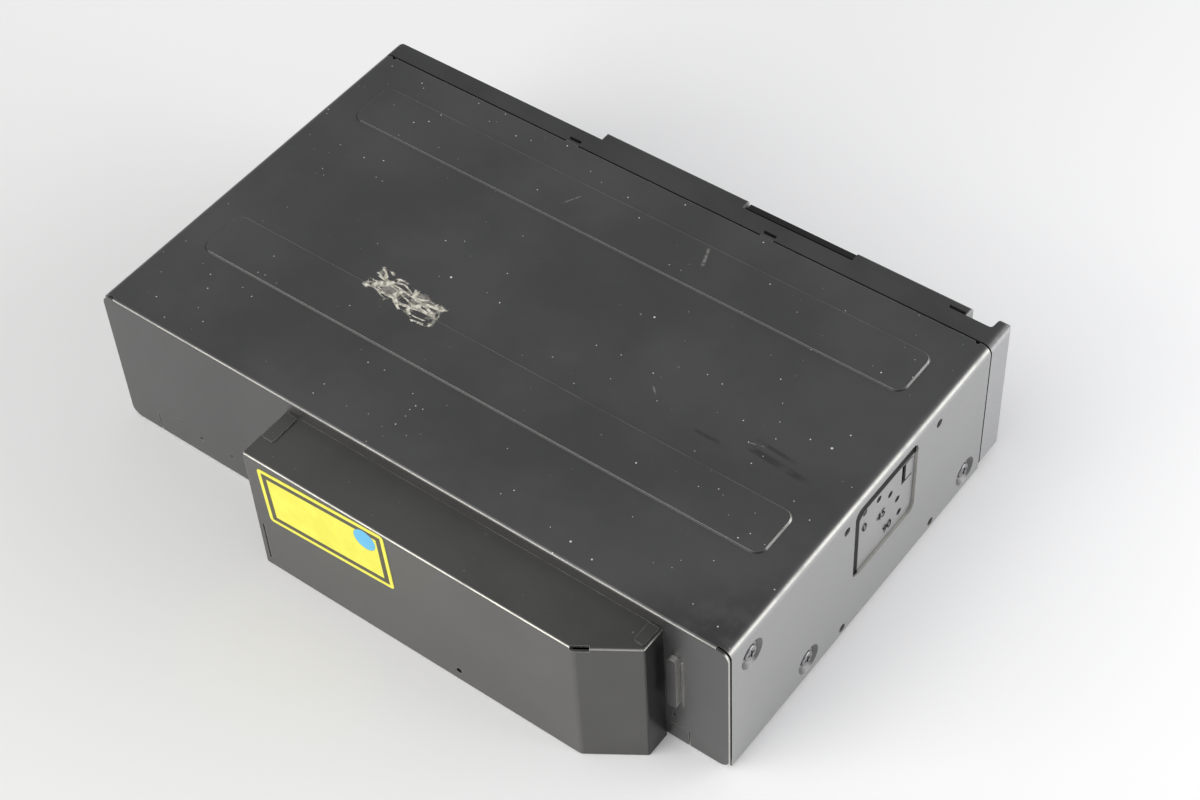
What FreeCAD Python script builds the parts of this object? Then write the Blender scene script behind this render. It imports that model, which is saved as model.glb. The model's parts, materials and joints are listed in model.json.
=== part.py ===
"""Car CD changer: a six-disc magazine player in a folded steel case.

Frame: X runs along the long side, the bezel with the magazine slot faces -Y, the rear
housing faces +Y, and Z points up.  The origin is the centre of the base of the bounding box.
All sizes are in millimetres.
"""
import FreeCAD, Part

import math
import os

Vector = FreeCAD.Vector

# ---------------------------------------------------------------- case
COVER_LIFT = 2.0          # lower edge of the side flanges above the ground
SHEET = 0.8               # steel sheet of the cover and of the rear housing
SIDE_BEND = 3.5           # outer radius of the bends along both sides
REAR_BEND = 1.2           # outer radius of the bend along the rear
CORNER_NOTCH = 5.0        # width of the relief at both rear corners
EAR_GAP = 0.5             # gap between the side flanges and the rear panel
PANEL_INSET = 0.3         # rear panel edge inside the side flange
PANEL_CORNER = 3.8        # rounding of the corners of the rear panel

RIB_MARGIN = 13.0         # end of the stiffening ribs from the side
RIB_WIDTH = 20.0
RIB_RISE = 0.5
RIB_CORNER = 4.0
RIB_FLANK = 0.6           # width of the sloping flank
REAR_RIB_OFFSET = 34.6    # near edge of the rear rib from the rear panel
FRONT_RIB_OFFSET = 113.2

BASE_SHEET = 1.0          # steel sheet of the base
VENT_WIDTH = 4.0          # long vent slots of the base
VENT_LENGTH = 36.0
VENT_PITCH = 12.0
VENT_ROW_PITCH = 48.0
VENT_ROWS = 2
VENT_COLUMNS = 6
TOOL_HOLE = 2.5           # round tooling holes of the base, from its edges
TOOL_HOLE_X = 16.0
TOOL_HOLE_Y = 14.0
BASE_BEND = 2.0
BASE_FLANGE = 24.0        # height of the side flanges of the base
BASE_EAR_WIDTH = 22.0     # tall ear for the upper rear screw
DIMPLE_DEPTH = 1.4
DIMPLE_RADIUS = 5.5
DIMPLE_FLOOR = 3.8
SCREW_HEAD_RADIUS = 2.8
SCREW_HEAD_HEIGHT = 1.2
SCREW_RADIUS = 1.25
SCREW_LENGTH = 5.0
SCREW_PLAY = 0.05         # radial play of a screw in its tapped hole
UPPER_SCREW = (11.8, 47.7)      # distance from the rear panel, height above the flange edge
LOWER_SCREW = (43.2, 8.2)
FRONT_SCREW = (9.6, 7.8)      # behind the seam, and above the flange edge

MOUNT_HOLE_RADIUS = 1.65  # tapped M4 holes for the fitting brackets
MOUNT_COLLAR = 1.1        # length of the drawn collar behind each tapped hole
MOUNT_SPACING_Y = 53.0
MOUNT_SPACING_Z = 50.0
MOUNT_REAR = 62.8         # rear pair of holes from the rear panel
MOUNT_LOWER = 2.7         # lower pair above the flange edge

# ---------------------------------------------------------------- bezel
BEZEL_DEPTH = 7.8         # seam to the flat face of the bezel
SURROUND_STAND = 4.4      # how far the slot surround stands out of the bezel
HORN_REACH = 13.5         # seam to the tip of the end cheek
HORN_WIDTH = 4.2
BEZEL_WALL = 2.2
BEZEL_GAP = 0.7           # open seam between the cover and the bezel
BEZEL_FOOT = 0.6          # lower edge of the bezel above the flange edge
HORN_FOOT = 4.7           # width of the end cheek at its root
BEZEL_CORNER = 3.0
SURROUND_WALL = 2.9       # surround around the slot
SURROUND_ROUND = 1.6
NOTCH_WIDTH = 44.2        # finger notch in the top of the surround
NOTCH_OFFSET = -7.95      # middle of the notch from the middle of the slot
SLOT_TUNNEL = 3.6         # depth of the wall around the slot
LATCH_WIDTH = 5.2
LATCH_DEPTH = 1.3
LATCH_SPACING = 82.0
LATCH_OFFSET = 0.8        # middle of the two latch windows from the middle of the bezel

# ---------------------------------------------------------------- rear housing
HOUSING_DEPTH = 21.2
HOUSING_WIDTH = 149.7
HOUSING_INSET = 23.8      # its -X wall inside the -X side of the case
HOUSING_STEP = 5.7        # its roof below the top of the case
CHAMFER_X = 17.7
CHAMFER_Y = 11.9
HOUSING_BEND = 1.0
HOUSING_TAB = 4.9
HOUSING_TAB_RISE = 0.5
HOUSING_SMALL_TAB = 3.9   # width of the tab beside the slanted corner
HOOK_RISE = 2.0           # pressed hook beside the housing, above the rear panel
RELIEF_LENGTH = 6.0       # bend relief at the start of the slanted corner
HOUSING_LIFT = 0.3        # lower edge of the housing above the ground
LABEL_WIDTH = 53.0
LABEL_HEIGHT = 25.7
LABEL_INSET = 33.0        # middle of the sticker from the +X wall of the housing
LABEL_DROP = 15.0         # middle of the sticker below the roof of the housing
LABEL_TILT = 3.3          # the sticker sits slightly crooked, in degrees
LABEL_THICKNESS = 0.15
SOCKET_RADIUS = 7.4
SOCKET_LENGTH = 11.0
SOCKET_FLANGE = 10.0
SOCKET_DROP = 26.3        # middle of the socket below the roof of the housing
SOCKET_PINS = 8           # one in the middle and the rest on an arc
SOCKET_PIN = 0.6
SOCKET_PIN_RING = 4.2
SOCKET_PIN_ARC = 300.0

# ---------------------------------------------------------------- selector
SELECTOR_REAR = 67.5      # window edge from the rear panel
SELECTOR_LENGTH = 36.0
SELECTOR_LOW = 22.5       # window edge above the flange edge
SELECTOR_HEIGHT = 33.6
SELECTOR_CORNER = 3.5
SELECTOR_SINK = 1.0       # how deep the plate lies below the outside
SELECTOR_RIM = 2.0
SELECTOR_TAB_SET = 1.6    # spring tab from the front end of the plate
SELECTOR_TAB_LENGTH = 4.4
SELECTOR_TAB_HEIGHT = 9.0
SELECTOR_TAB_RISE = 18.5  # its foot above the foot of the plate
SELECTOR_TAB_SLIT = 0.7
SELECTOR_TAB_GAP = 1.5    # wider slit behind the tab
SELECTOR_SHEET = 0.8
SELECTOR_SWING = 21.2     # radius of the arc of holes
SELECTOR_HOLE = 1.3
SELECTOR_PIN = 1.1
SELECTOR_PIVOT_REAR = 74.5
SELECTOR_PIVOT_HIGH = 28.0
SELECTOR_POSITIONS = 5
LEVER_SHEET = 1.2
LEVER_GAP = 0.4

# ---------------------------------------------------------------- marks and grip of the magazine
LIP_RISE = 2.3            # pull lip in the notch above the roof of the magazine
LIP_THICKNESS = 2.4
LIP_PLAY = 0.4
ARROW_INSET = 21.0        # middle of the arrow from the end of the slot
ARROW_SETBACK = 16.0
ARROW_WIDTH = 10.0
ARROW_LENGTH = 8.0
ARROW_DEPTH = 0.3
PULL_LOW = 13.0           # finger recess above the floor of the magazine
PULL_HEIGHT = 18.0
PULL_HALF = 32.0
PULL_DEPTH = 4.0
PULL_CORNER = 3.0
RIDGE_COUNT = 3
RIDGE_START = 4.0
RIDGE_PITCH = 4.3
RIDGE_WIDTH = 1.4
RIDGE_INSET = 5.0

# ---------------------------------------------------------------- eject slider
SLIDER_THICKNESS = 3.2
SLIDER_HEIGHT = 6.0
SLIDER_SETBACK = 30.0     # its front end behind the front of the frame
SLIDER_PLAY = 0.6
SLIDER_REST_GAP = 0.5     # finger behind the back of the magazine
SLIDER_FINGER = 2.6
SLIDER_FINGER_TOP = 14.0  # top of the finger above the floor of the magazine
SLIDER_FINGER_HEIGHT = 8.0
SLIDER_REACH = 4.0        # finger behind the magazine's wall

# ---------------------------------------------------------------- discs and magazine
DISC_RADIUS = 60.0
DISC_BORE = 7.5
DISC_THICKNESS = 1.2
DISC_COUNT = 6
DISC_PITCH = 6.6
TRAY_RIM = 2.0            # tray beyond the edge of the disc
TRAY_BELOW = 2.2          # underside of a tray below the middle of its disc
TRAY_ABOVE = 1.0
TRAY_PLAY = 0.3
MAGAZINE_WALL = 2.2
MAGAZINE_GRIP = 11.0      # solid front of the magazine
MAGAZINE_SIDE = 8.4       # magazine beyond its trays, left and right
MAGAZINE_FLOOR = 14.2     # underside of the magazine above the ground
MAGAZINE_HEADROOM = 3.8   # top of the case above the magazine
MAGAZINE_INSET = 0.3      # magazine front behind the front of the surround
SLOT_PLAY = 0.8
SLIDER_BAY = 17.75        # magazine inside the -X side of the case
PLAYER_BAY = 96.45        # magazine inside the +X side of the case
LIFT_BAY = 20.6           # rear panel behind the magazine
SPINDLE_OFFSET = 29.6     # spindle of the player beside the magazine

# ---------------------------------------------------------------- lift and player
PLAY_RISE = 5.0           # rise of the traverse that brings the turntable to a disc
DISC_RAISE = 0.9          # how far a playing disc stands above its tray
PLATTER_RADIUS = 15.0
PLATTER_THICKNESS = 1.4
BOSS_RADIUS = 4.0         # boss under the platter
BOSS_PLAY = 0.3           # boss above the traverse
HUB_HEIGHT = 1.6
HUB_RADIUS = 7.3
PUCK_RADIUS = 13.0
PUCK_HEIGHT = 2.2
BRIDGE_SHEET = 1.2
BRIDGE_WIDTH = 30.0
BRIDGE_RISE = 5.0         # underside of the clamp bridge above the disc
DECK_SHEET = 1.2
DECK_DROP = 12.0          # underside of the lift deck below the disc
DECK_MARGIN = 0.35        # deck inside the left edge of the traverse
DECK_SIDE_GAP = 3.6       # deck inside the frame wall
DECK_FRONT_GAP = 7.7      # deck behind the seam of the cover
DECK_WINDOW = 3.2         # deck window beyond the guide shafts
DECK_FRONT_BAR = 4.0      # front bar of the deck, behind the front of the traverse
SHELF_PAST_SCREW = 6.0    # rear shelf beyond the left lead screw
SHELF_DROP = 8.0          # underside of the rear shelf of the deck below the disc
TRAVERSE_DROP = 9.4       # underside of the traverse below the disc
TRAVERSE_REACH = 27.0     # traverse beyond the spindle in X
TRAVERSE_FRONT = 34.0     # traverse in front of the spindle
TRAVERSE_OVERHANG = 2.0   # traverse behind the back of the magazine
DECK_WEB_GAP = 2.4        # upright web of the deck behind the traverse
LEAD_SCREW_RADIUS = 2.4
LEAD_SCREW_PITCH = 2.0
LEAD_SCREW_GAP = 7.5      # lead screws in front of the rear panel
LEFT_SCREW_OFFSET = 31.35 # left lead screw beside the middle of the slot
RIGHT_SCREW_GAP = 10.1    # right lead screw inside the frame wall
PULLEY_RADIUS = 4.0
BELT_SHEET = 0.8
BELT_WIDTH = 2.0
POST_GAP = 14.2           # front guide post behind the seam
POST_PLAY = 0.06
BUSH_WALL = 1.9
BUSH_ABOVE = 3.0
PIN_RADIUS = 1.4
PIN_PLAY = 0.05
GROMMET_WALL = 1.6
GUIDE_RADIUS = 1.5
GUIDE_SPACING = 34.0
GUIDE_DROP = 11.2         # axes of the guide shafts below the disc
GUIDE_PLAY = 0.05
GUIDE_LEDGE = 3.6         # traverse window inside the guide shafts
GUIDE_PAST_SLED = 3.5     # guide shafts beyond the range of the sled
LEAD_OUT = 2.0            # rim of a disc that the lens doesn't reach
SLED_INNER = 24.0         # lens radius at rest
SLED_AHEAD = 9.0          # sled in front of its lens
SLED_BEHIND = 6.0
LENS_RADIUS = 3.2
LENS_RISE = 0.7           # top of the lens above its mount
SLED_BELOW = 2.2          # sled body below and above the guide shafts
SLED_ABOVE = 3.4
SLED_DOME = 0.8
SLED_NECK = 4.2           # sides of the body inside the guide shafts
SLED_ARM = 2.4            # ends of the arms outside the guide shafts

# ---------------------------------------------------------------- mechanism frame
FRAME_SHEET = 1.2
FRAME_RIM = 27.0          # front strip of the frame's floor before its windows
FRAME_WINDOWS = 3         # windows under the magazine
FRAME_WINDOW = 30.0
FRAME_WINDOW_PITCH = 40.0
FRAME_WINDOW_MARGIN = 18.0
FRAME_HEIGHT = 2.8        # underside of the frame floor above the ground
FRAME_SIDE_GAP = 8.4      # frame wall inside the case
FRAME_WALL = 16.0
FRAME_FRONT_GAP = 6.2     # frame behind the seam
FRAME_BACK_GAP = 2.0      # frame in front of the rear panel
FRAME_DAMPER_FRONT = 14.0
FRAME_DAMPER_REAR = 21.5
FRAME_DAMPER_Z = 9.5
DAMPER_RADIUS = 4.6
DAMPER_WAIST = 3.6
CRADLE_SHEET = 1.0
CRADLE_PLAY = 0.6
BOARD_SHEET = 1.6
BOARD_HEIGHT = 6.0        # underside of the main board above the ground
BOARD_MARGIN = 5.0        # main board inside the magazine, seen from above
BOARD_CORNER = 4.0        # posts inside the corners of the board
REAR_BOARD_GAP = 4.0      # rear board inside the back of the housing
CHIP_SIZE = 14.0
CHIP_HEIGHT = 2.2
CAN_RADIUS = 3.0
CAN_HEIGHT = 4.2
SPINDLE_MOTOR_RADIUS = 9.0
SPINDLE_MOTOR_DEPTH = 4.4
SPINDLE_FLANGE_RADIUS = 12.0
SPINDLE_FLANGE_SHEET = 1.2

# ---------------------------------------------------------------- gears
MODULE = 0.6
LIFT_GEAR_TEETH = 48
LIFT_PINION_TEETH = 12
LIFT_MOTOR_SIDE = 140.0   # direction of the lift motor from the left lead screw, in degrees
LOADING_GEAR_TEETH = 24
LOADING_PINION_TEETH = 12
TOOTH_BACKLASH = 0.2      # tooth thickness taken off at the pitch line
GEAR_WIDTH = 2.6
SHAFT_RADIUS = 1.0
SHAFT_PLAY = 0.05
LIFT_MOTOR_RADIUS = 9.5
LIFT_MOTOR_LENGTH = 22.0
LOADING_MOTOR_RADIUS = 5.6

# ---------------------------------------------------------------- eject button
BUTTON_WIDTH = 22.0
BUTTON_HEIGHT = 9.0
BUTTON_INSET = 35.5       # middle of the button from the +X end of the bezel
BUTTON_DROP = 18.0        # middle of the button below the top of the bezel
BUTTON_STAND = 1.6
SWITCH_BOARD_LEFT = 11.0  # edges of the switch board from the middle of the button
SWITCH_BOARD_RIGHT = 22.0
SWITCH_BOARD_HALF = 12.0
SWITCH_BOARD_SHEET = 1.6
SWITCH_BOARD_SCREW_X = 18.0
SWITCH_BOARD_SCREW_Z = 9.0
SWITCH_BOARD_HOLE = 1.0
SWITCH_HALF = 3.0
SWITCH_DEPTH = 1.8
SWITCH_PLUG_START = 8.0   # its connector, from the middle of the button
SWITCH_PLUG_LENGTH = 7.0
SWITCH_PLUG_HEIGHT = 5.0
SWITCH_PLUG_DEPTH = 1.8
BUTTON_TRAVEL = 1.2
BUTTON_PLAY = 0.4

# ---------------------------------------------------------------- places that follow
LAP = 2.0                 # overlap of two shapes that are joined into one piece
tray_radius = DISC_RADIUS + TRAY_RIM
magazine_width = 2 * (tray_radius + MAGAZINE_SIDE)
magazine_depth = MAGAZINE_GRIP + 2 * (TRAY_PLAY + tray_radius) + MAGAZINE_WALL
magazine_height = DISC_COUNT * DISC_PITCH + 2 * MAGAZINE_WALL

half_width = (SLIDER_BAY + magazine_width + PLAYER_BAY) / 2
cover_depth = magazine_depth + MAGAZINE_INSET - SURROUND_STAND - BEZEL_DEPTH + LIFT_BAY
total_depth = HORN_REACH + cover_depth + HOUSING_DEPTH + LABEL_THICKNESS
y_tip = -total_depth / 2
y_seam = y_tip + HORN_REACH
y_face = y_seam - BEZEL_DEPTH
y_surround = y_face - SURROUND_STAND
y_rear = y_seam + cover_depth
y_back = y_rear + HOUSING_DEPTH
z_edge = COVER_LIFT
z_top = MAGAZINE_FLOOR + magazine_height + MAGAZINE_HEADROOM
base_outer = half_width - SHEET - DIMPLE_DEPTH
base_inner = base_outer - BASE_SHEET
rear_inside = y_rear - SHEET
frame_side = half_width - FRAME_SIDE_GAP
frame_front = y_seam + FRAME_FRONT_GAP
frame_back = rear_inside - FRAME_BACK_GAP
housing_left = HOUSING_INSET - half_width
housing_right = housing_left + HOUSING_WIDTH
housing_roof = z_top - HOUSING_STEP
socket_y = y_rear + HOUSING_DEPTH / 2
socket_z = housing_roof - SOCKET_DROP
button_x = half_width - BUTTON_INSET
button_z = z_top - BUTTON_DROP

magazine_left = SLIDER_BAY - half_width
magazine_right = magazine_left + magazine_width
slot_centre = magazine_left + magazine_width / 2
magazine_bottom = MAGAZINE_FLOOR
magazine_top = magazine_bottom + magazine_height
magazine_front = y_surround + MAGAZINE_INSET
magazine_back = magazine_front + magazine_depth
disc_y = magazine_front + MAGAZINE_GRIP + TRAY_PLAY + tray_radius
slot_left = magazine_left - SLOT_PLAY
slot_right = magazine_right + SLOT_PLAY
slot_low = magazine_bottom - SLOT_PLAY
slot_high = magazine_top + SLOT_PLAY
notch_left = slot_centre + NOTCH_OFFSET - NOTCH_WIDTH / 2
notch_right = notch_left + NOTCH_WIDTH

spindle_x = magazine_right + SPINDLE_OFFSET
tray_travel = spindle_x - slot_centre
traverse_back = magazine_back + TRAVERSE_OVERHANG
sled_travel = DISC_RADIUS - LEAD_OUT - SLED_INNER
deck_left = spindle_x - TRAVERSE_REACH + DECK_MARGIN
deck_right = frame_side - DECK_SIDE_GAP
deck_front = y_seam + DECK_FRONT_GAP
lead_screw_y = rear_inside - LEAD_SCREW_GAP
left_screw_x = slot_centre + LEFT_SCREW_OFFSET
right_screw_x = frame_side - RIGHT_SCREW_GAP
post_y = y_seam + POST_GAP


def disc_level(index):
    """Height of the middle of a disc in the magazine, counted from the bottom."""
    return magazine_bottom + MAGAZINE_WALL + DISC_PITCH * (index + 0.5)


deck_z = disc_level(DISC_COUNT - 1)      # the lift rests at the top disc


# ---------------------------------------------------------------- shape helpers
def box(x0, x1, y0, y1, z0, z1):
    return Part.makeBox(x1 - x0, y1 - y0, z1 - z0, Vector(x0, y0, z0))


def rod(radius, start, direction, length):
    return Part.makeCylinder(radius, length, Vector(*start), Vector(*direction))


def upright(radius, x, y, z0, z1):
    return rod(radius, (x, y, z0), (0, 0, 1), z1 - z0)


def join(*shapes):
    return shapes[0].fuse(list(shapes[1:])).removeSplitter()


def cut(shape, *tools):
    return shape.cut(list(tools))


def group(shapes):
    return Part.makeCompound(list(shapes))


def mirrored(shape):
    """The same shape on the other side of the middle plane X = 0."""
    return shape.mirror(Vector(0, 0, 0), Vector(1, 0, 0))


def spot(axis, u, v, level):
    """Point of a plane across an axis: X holds (Y, Z), Y holds (X, Z) and Z holds (X, Y)."""
    if axis == "x":
        return Vector(level, u, v)
    if axis == "y":
        return Vector(u, level, v)
    return Vector(u, v, level)


def rounded_prism(axis, corners, low, high):
    """Prism along an axis; each corner is (u, v, radius) and gets an arc of its radius."""
    ends = []
    edges = []
    for index, (u, v, radius) in enumerate(corners):
        here = spot(axis, u, v, low)
        if radius <= 0:
            ends.append((here, here))
            continue
        before = spot(axis, *corners[index - 1][:2], low) - here
        after = spot(axis, *corners[(index + 1) % len(corners)][:2], low) - here
        before.normalize()
        after.normalize()
        half = before.getAngle(after) / 2
        middle = before + after
        middle.normalize()
        start = here + before * (radius / math.tan(half))
        end = here + after * (radius / math.tan(half))
        crown = here + middle * (radius / math.sin(half) - radius)
        edges.append(Part.Arc(start, crown, end).toShape())
        ends.append((start, end))
    for index, (start, _) in enumerate(ends):
        last = ends[index - 1][1]
        if last.distanceToPoint(start) > 1e-6:
            edges.append(Part.makeLine(last, start))
    face = Part.Face(Part.Wire(Part.__sortEdges__(edges)))
    return face.extrude(spot(axis, 0, 0, high - low))


def rounded_box(axis, u0, u1, v0, v1, radius, low, high):
    corners = [(u0, v0, radius), (u1, v0, radius), (u1, v1, radius), (u0, v1, radius)]
    return rounded_prism(axis, corners, low, high)


def inner_bend(outer, sheet):
    """Inner radius of a sheet metal bend, never quite sharp."""
    return max(outer - sheet, 0.1)


def spur_gear(teeth, phase, x, y, z0, z1, bore):
    """Straight-flanked spur gear with one tooth centred on the angle phase."""
    pitch_radius = MODULE * teeth / 2
    tip_radius = pitch_radius + MODULE * 0.9
    root_radius = pitch_radius - MODULE * 1.2
    half_tooth = (math.pi * MODULE / 2 - TOOTH_BACKLASH) / 2
    slope = math.tan(math.radians(20))
    tip_half = (half_tooth - MODULE * 0.9 * slope) / tip_radius
    root_half = (half_tooth + MODULE * 1.2 * slope) / root_radius
    outline = []
    for tooth in range(teeth):
        centre = phase + tooth * 2 * math.pi / teeth
        sides = ((root_radius, -root_half), (tip_radius, -tip_half),
                 (tip_radius, tip_half), (root_radius, root_half))
        for radius, turn in sides:
            angle = centre + turn
            outline.append((x + radius * math.cos(angle), y + radius * math.sin(angle), 0))
    wheel = rounded_prism("z", outline, z0, z1)
    return cut(wheel, upright(bore, x, y, z0 - LAP, z1 + LAP))


def threaded_rod(radius, x, y, z0, z1, pitch, depth):
    """Upright screw, turned with one groove to each pitch."""
    count = int((z1 - z0) / pitch)
    outline = [(0, z0), (radius, z0)]
    for turn in range(count):
        z = z0 + turn * pitch
        outline += [(radius, z + pitch * 0.4), (radius - depth, z + pitch * 0.6),
                    (radius - depth, z + pitch * 0.8), (radius, z + pitch)]
    outline += [(radius, z1), (0, z1)]
    points = []
    for r, z in outline:
        point = Vector(x + r, y, z)
        if not points or points[-1].distanceToPoint(point) > 1e-6:
            points.append(point)
    face = Part.Face(Part.makePolygon(points + points[:1]))
    return face.revolve(Vector(x, y, 0), Vector(0, 0, 1), 360)


def save(name, shape):
    os.makedirs("parts", exist_ok=True)
    shape.exportStep("parts/" + name + ".step")


# ---------------------------------------------------------------- case
def rib_block(y0, drop):
    """Raised rib with sloping flanks on the top of the cover, or its hollow below."""
    x0 = -half_width + RIB_MARGIN
    foot = rounded_box("z", x0, -x0, y0, y0 + RIB_WIDTH, RIB_CORNER, z_top - drop - LAP, z_top - drop)
    wires = []
    for inset, rise in ((0.0, 0.0), (RIB_FLANK, RIB_RISE)):
        layer = rounded_box("z", x0 + inset, -x0 - inset, y0 + inset, y0 + RIB_WIDTH - inset,
                            RIB_CORNER - inset, z_top - drop + rise, z_top - drop + rise + 1)
        wires.append(layer.Faces[-2].OuterWire)
    flank = Part.makeLoft(wires, True, True)
    return foot, flank


def dimple(side, place):
    """Boss, recess and hole of one screw dimple in a side flange."""
    outside = Vector(side * half_width, *place)
    inward = Vector(-side, 0, 0)
    boss = Part.makeCone(DIMPLE_RADIUS + SHEET * 0.9, DIMPLE_FLOOR + SHEET * 0.6,
                         DIMPLE_DEPTH + SHEET, outside, inward)
    recess = Part.makeCone(DIMPLE_RADIUS, DIMPLE_FLOOR, DIMPLE_DEPTH, outside, inward)
    hole = Part.makeCylinder(SCREW_RADIUS + SHEET / 2, DIMPLE_DEPTH + SHEET + 1, outside, inward)
    return boss, recess, hole


def screw_places():
    """Centres of the three cover screws of a side, as (Y, Z)."""
    rear = [(y_rear - back, z_edge + up) for back, up in (UPPER_SCREW, LOWER_SCREW)]
    return rear + [(y_seam + FRONT_SCREW[0], z_edge + FRONT_SCREW[1])]


def mount_places():
    """Centres of the four bracket holes of a side, as (Y, Z)."""
    ys = (y_rear - MOUNT_REAR, y_rear - MOUNT_REAR - MOUNT_SPACING_Y)
    zs = (z_edge + MOUNT_LOWER, z_edge + MOUNT_LOWER + MOUNT_SPACING_Z)
    return [(y, z) for y in ys for z in zs]


def selector_window(side, grow, low, high):
    """Block through the selector window, between two depths from the outside."""
    y1 = y_rear - SELECTOR_REAR + grow
    y0 = y1 - SELECTOR_LENGTH - 2 * grow
    z0 = z_edge + SELECTOR_LOW - grow
    z1 = z0 + SELECTOR_HEIGHT + 2 * grow
    x0 = half_width - high
    x1 = half_width - low
    block = rounded_box("x", y0, y1, z0, z1, SELECTOR_CORNER, x0, x1)
    return block if side > 0 else mirrored(block)


def panel_details(cover):
    """Small pressings and holes of the rear panel."""
    right = housing_right
    left = housing_left
    through = (rear_inside - 1, y_rear + 1)
    slit = box(right + 67.0, right + 67.6, *through, z_edge - 1, z_edge + 8.4)
    lance = box(right + 57.0, right + 62.0, *through, z_edge + 12.2, z_edge + 12.8)
    pilot = rod(0.8, (right + 47.0, rear_inside - 1, z_edge + 8.4), (0, 1, 0), SHEET + 2)
    second = rod(0.8, (right + 33.0, rear_inside - 1, z_edge + 8.4), (0, 1, 0), SHEET + 2)
    tab_side = box(left - 9.0, left - 8.5, *through, z_edge - 1, z_edge + 7.4)
    tab_top = box(left - 9.0, left - 1.8, *through, z_edge + 6.9, z_edge + 7.4)
    eye = box(left - 3.6, left - 2.4, *through, z_edge + 11.0, z_edge + 13.0)
    cover = cut(cover, slit, lance, pilot, second, tab_side, tab_top, eye)
    hook = rounded_box("y", left - 5.6, left - 2.4, z_edge + 20.0, z_edge + 44.0, 0.9,
                       rear_inside, y_rear + HOOK_RISE)
    lip = box(left - 7.2, left - 6.6, y_rear - SHEET / 2, y_rear + 0.5, z_edge + 20.0, z_edge + 43.0)
    return join(cover, hook, lip)


def top_cover():
    """Folded sheet cover: top, both side flanges and the rear panel."""
    flange_end = rear_inside - EAR_GAP
    bend = inner_bend(SIDE_BEND, SHEET)
    inner_x = half_width - SHEET
    inner_z = z_top - SHEET
    shell = rounded_prism("y", [
        (-half_width, z_edge, 0), (-half_width, z_top, SIDE_BEND),
        (half_width, z_top, SIDE_BEND), (half_width, z_edge, 0),
        (inner_x, z_edge, 0), (inner_x, inner_z, bend),
        (-inner_x, inner_z, bend), (-inner_x, z_edge, 0)], y_seam, flange_end)
    notch_x = half_width - CORNER_NOTCH
    rear_fold = rounded_prism("x", [
        (flange_end - LAP, z_top, 0), (y_rear, z_top, REAR_BEND),
        (y_rear, z_top - 2 * LAP, 0), (rear_inside, z_top - 2 * LAP, 0),
        (rear_inside, inner_z, inner_bend(REAR_BEND, SHEET)),
        (flange_end - LAP, inner_z, 0)], -notch_x, notch_x)
    panel_x = half_width - PANEL_INSET
    panel = rounded_box("y", -panel_x, panel_x, z_edge, z_top - PANEL_INSET, PANEL_CORNER,
                        rear_inside, y_rear)
    panel = cut(panel,
                box(-notch_x, notch_x, rear_inside - 1, y_rear + 1, z_top - LAP, z_top + 1),
                box(housing_left + 5 * SHEET, housing_right - 5 * SHEET, rear_inside - 1, y_rear + 1,
                    -1, housing_roof - 8 * SHEET))
    cover = panel_details(join(shell, rear_fold, panel))
    for place in (REAR_RIB_OFFSET + RIB_WIDTH, FRONT_RIB_OFFSET + RIB_WIDTH):
        _, flank = rib_block(y_rear - place, 0)
        foot, hollow = rib_block(y_rear - place, SHEET)
        cover = cut(join(cover, flank), hollow, foot)
    for side in (-1, 1):
        for place in screw_places():
            boss, recess, hole = dimple(side, place)
            cover = cut(cover.fuse(boss), recess, hole)
        for y, z in mount_places():
            collar_at = (side * half_width, y, z)
            inward = (-side, 0, 0)
            collar = rod(MOUNT_HOLE_RADIUS + SHEET, collar_at, inward, SHEET + MOUNT_COLLAR)
            drilled = rod(MOUNT_HOLE_RADIUS, collar_at, inward, SHEET + MOUNT_COLLAR + 1)
            cover = cut(cover.fuse(collar), drilled)
        cover = cut(cover, selector_window(side, 0, -1, SHEET + 1))
        cover = cut(cover, upright(0.9, side * notch_x, y_seam, z_top - 2 * SHEET, z_top + 1))
    for centre in latch_centres():
        tongue = box(centre - LATCH_WIDTH / 2, centre + LATCH_WIDTH / 2,
                     y_seam - BEZEL_GAP, y_seam + LAP, inner_z, z_top)
        cover = join(cover, tongue)
    return cover


def latch_centres():
    return (LATCH_OFFSET - LATCH_SPACING / 2, LATCH_OFFSET + LATCH_SPACING / 2)


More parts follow.
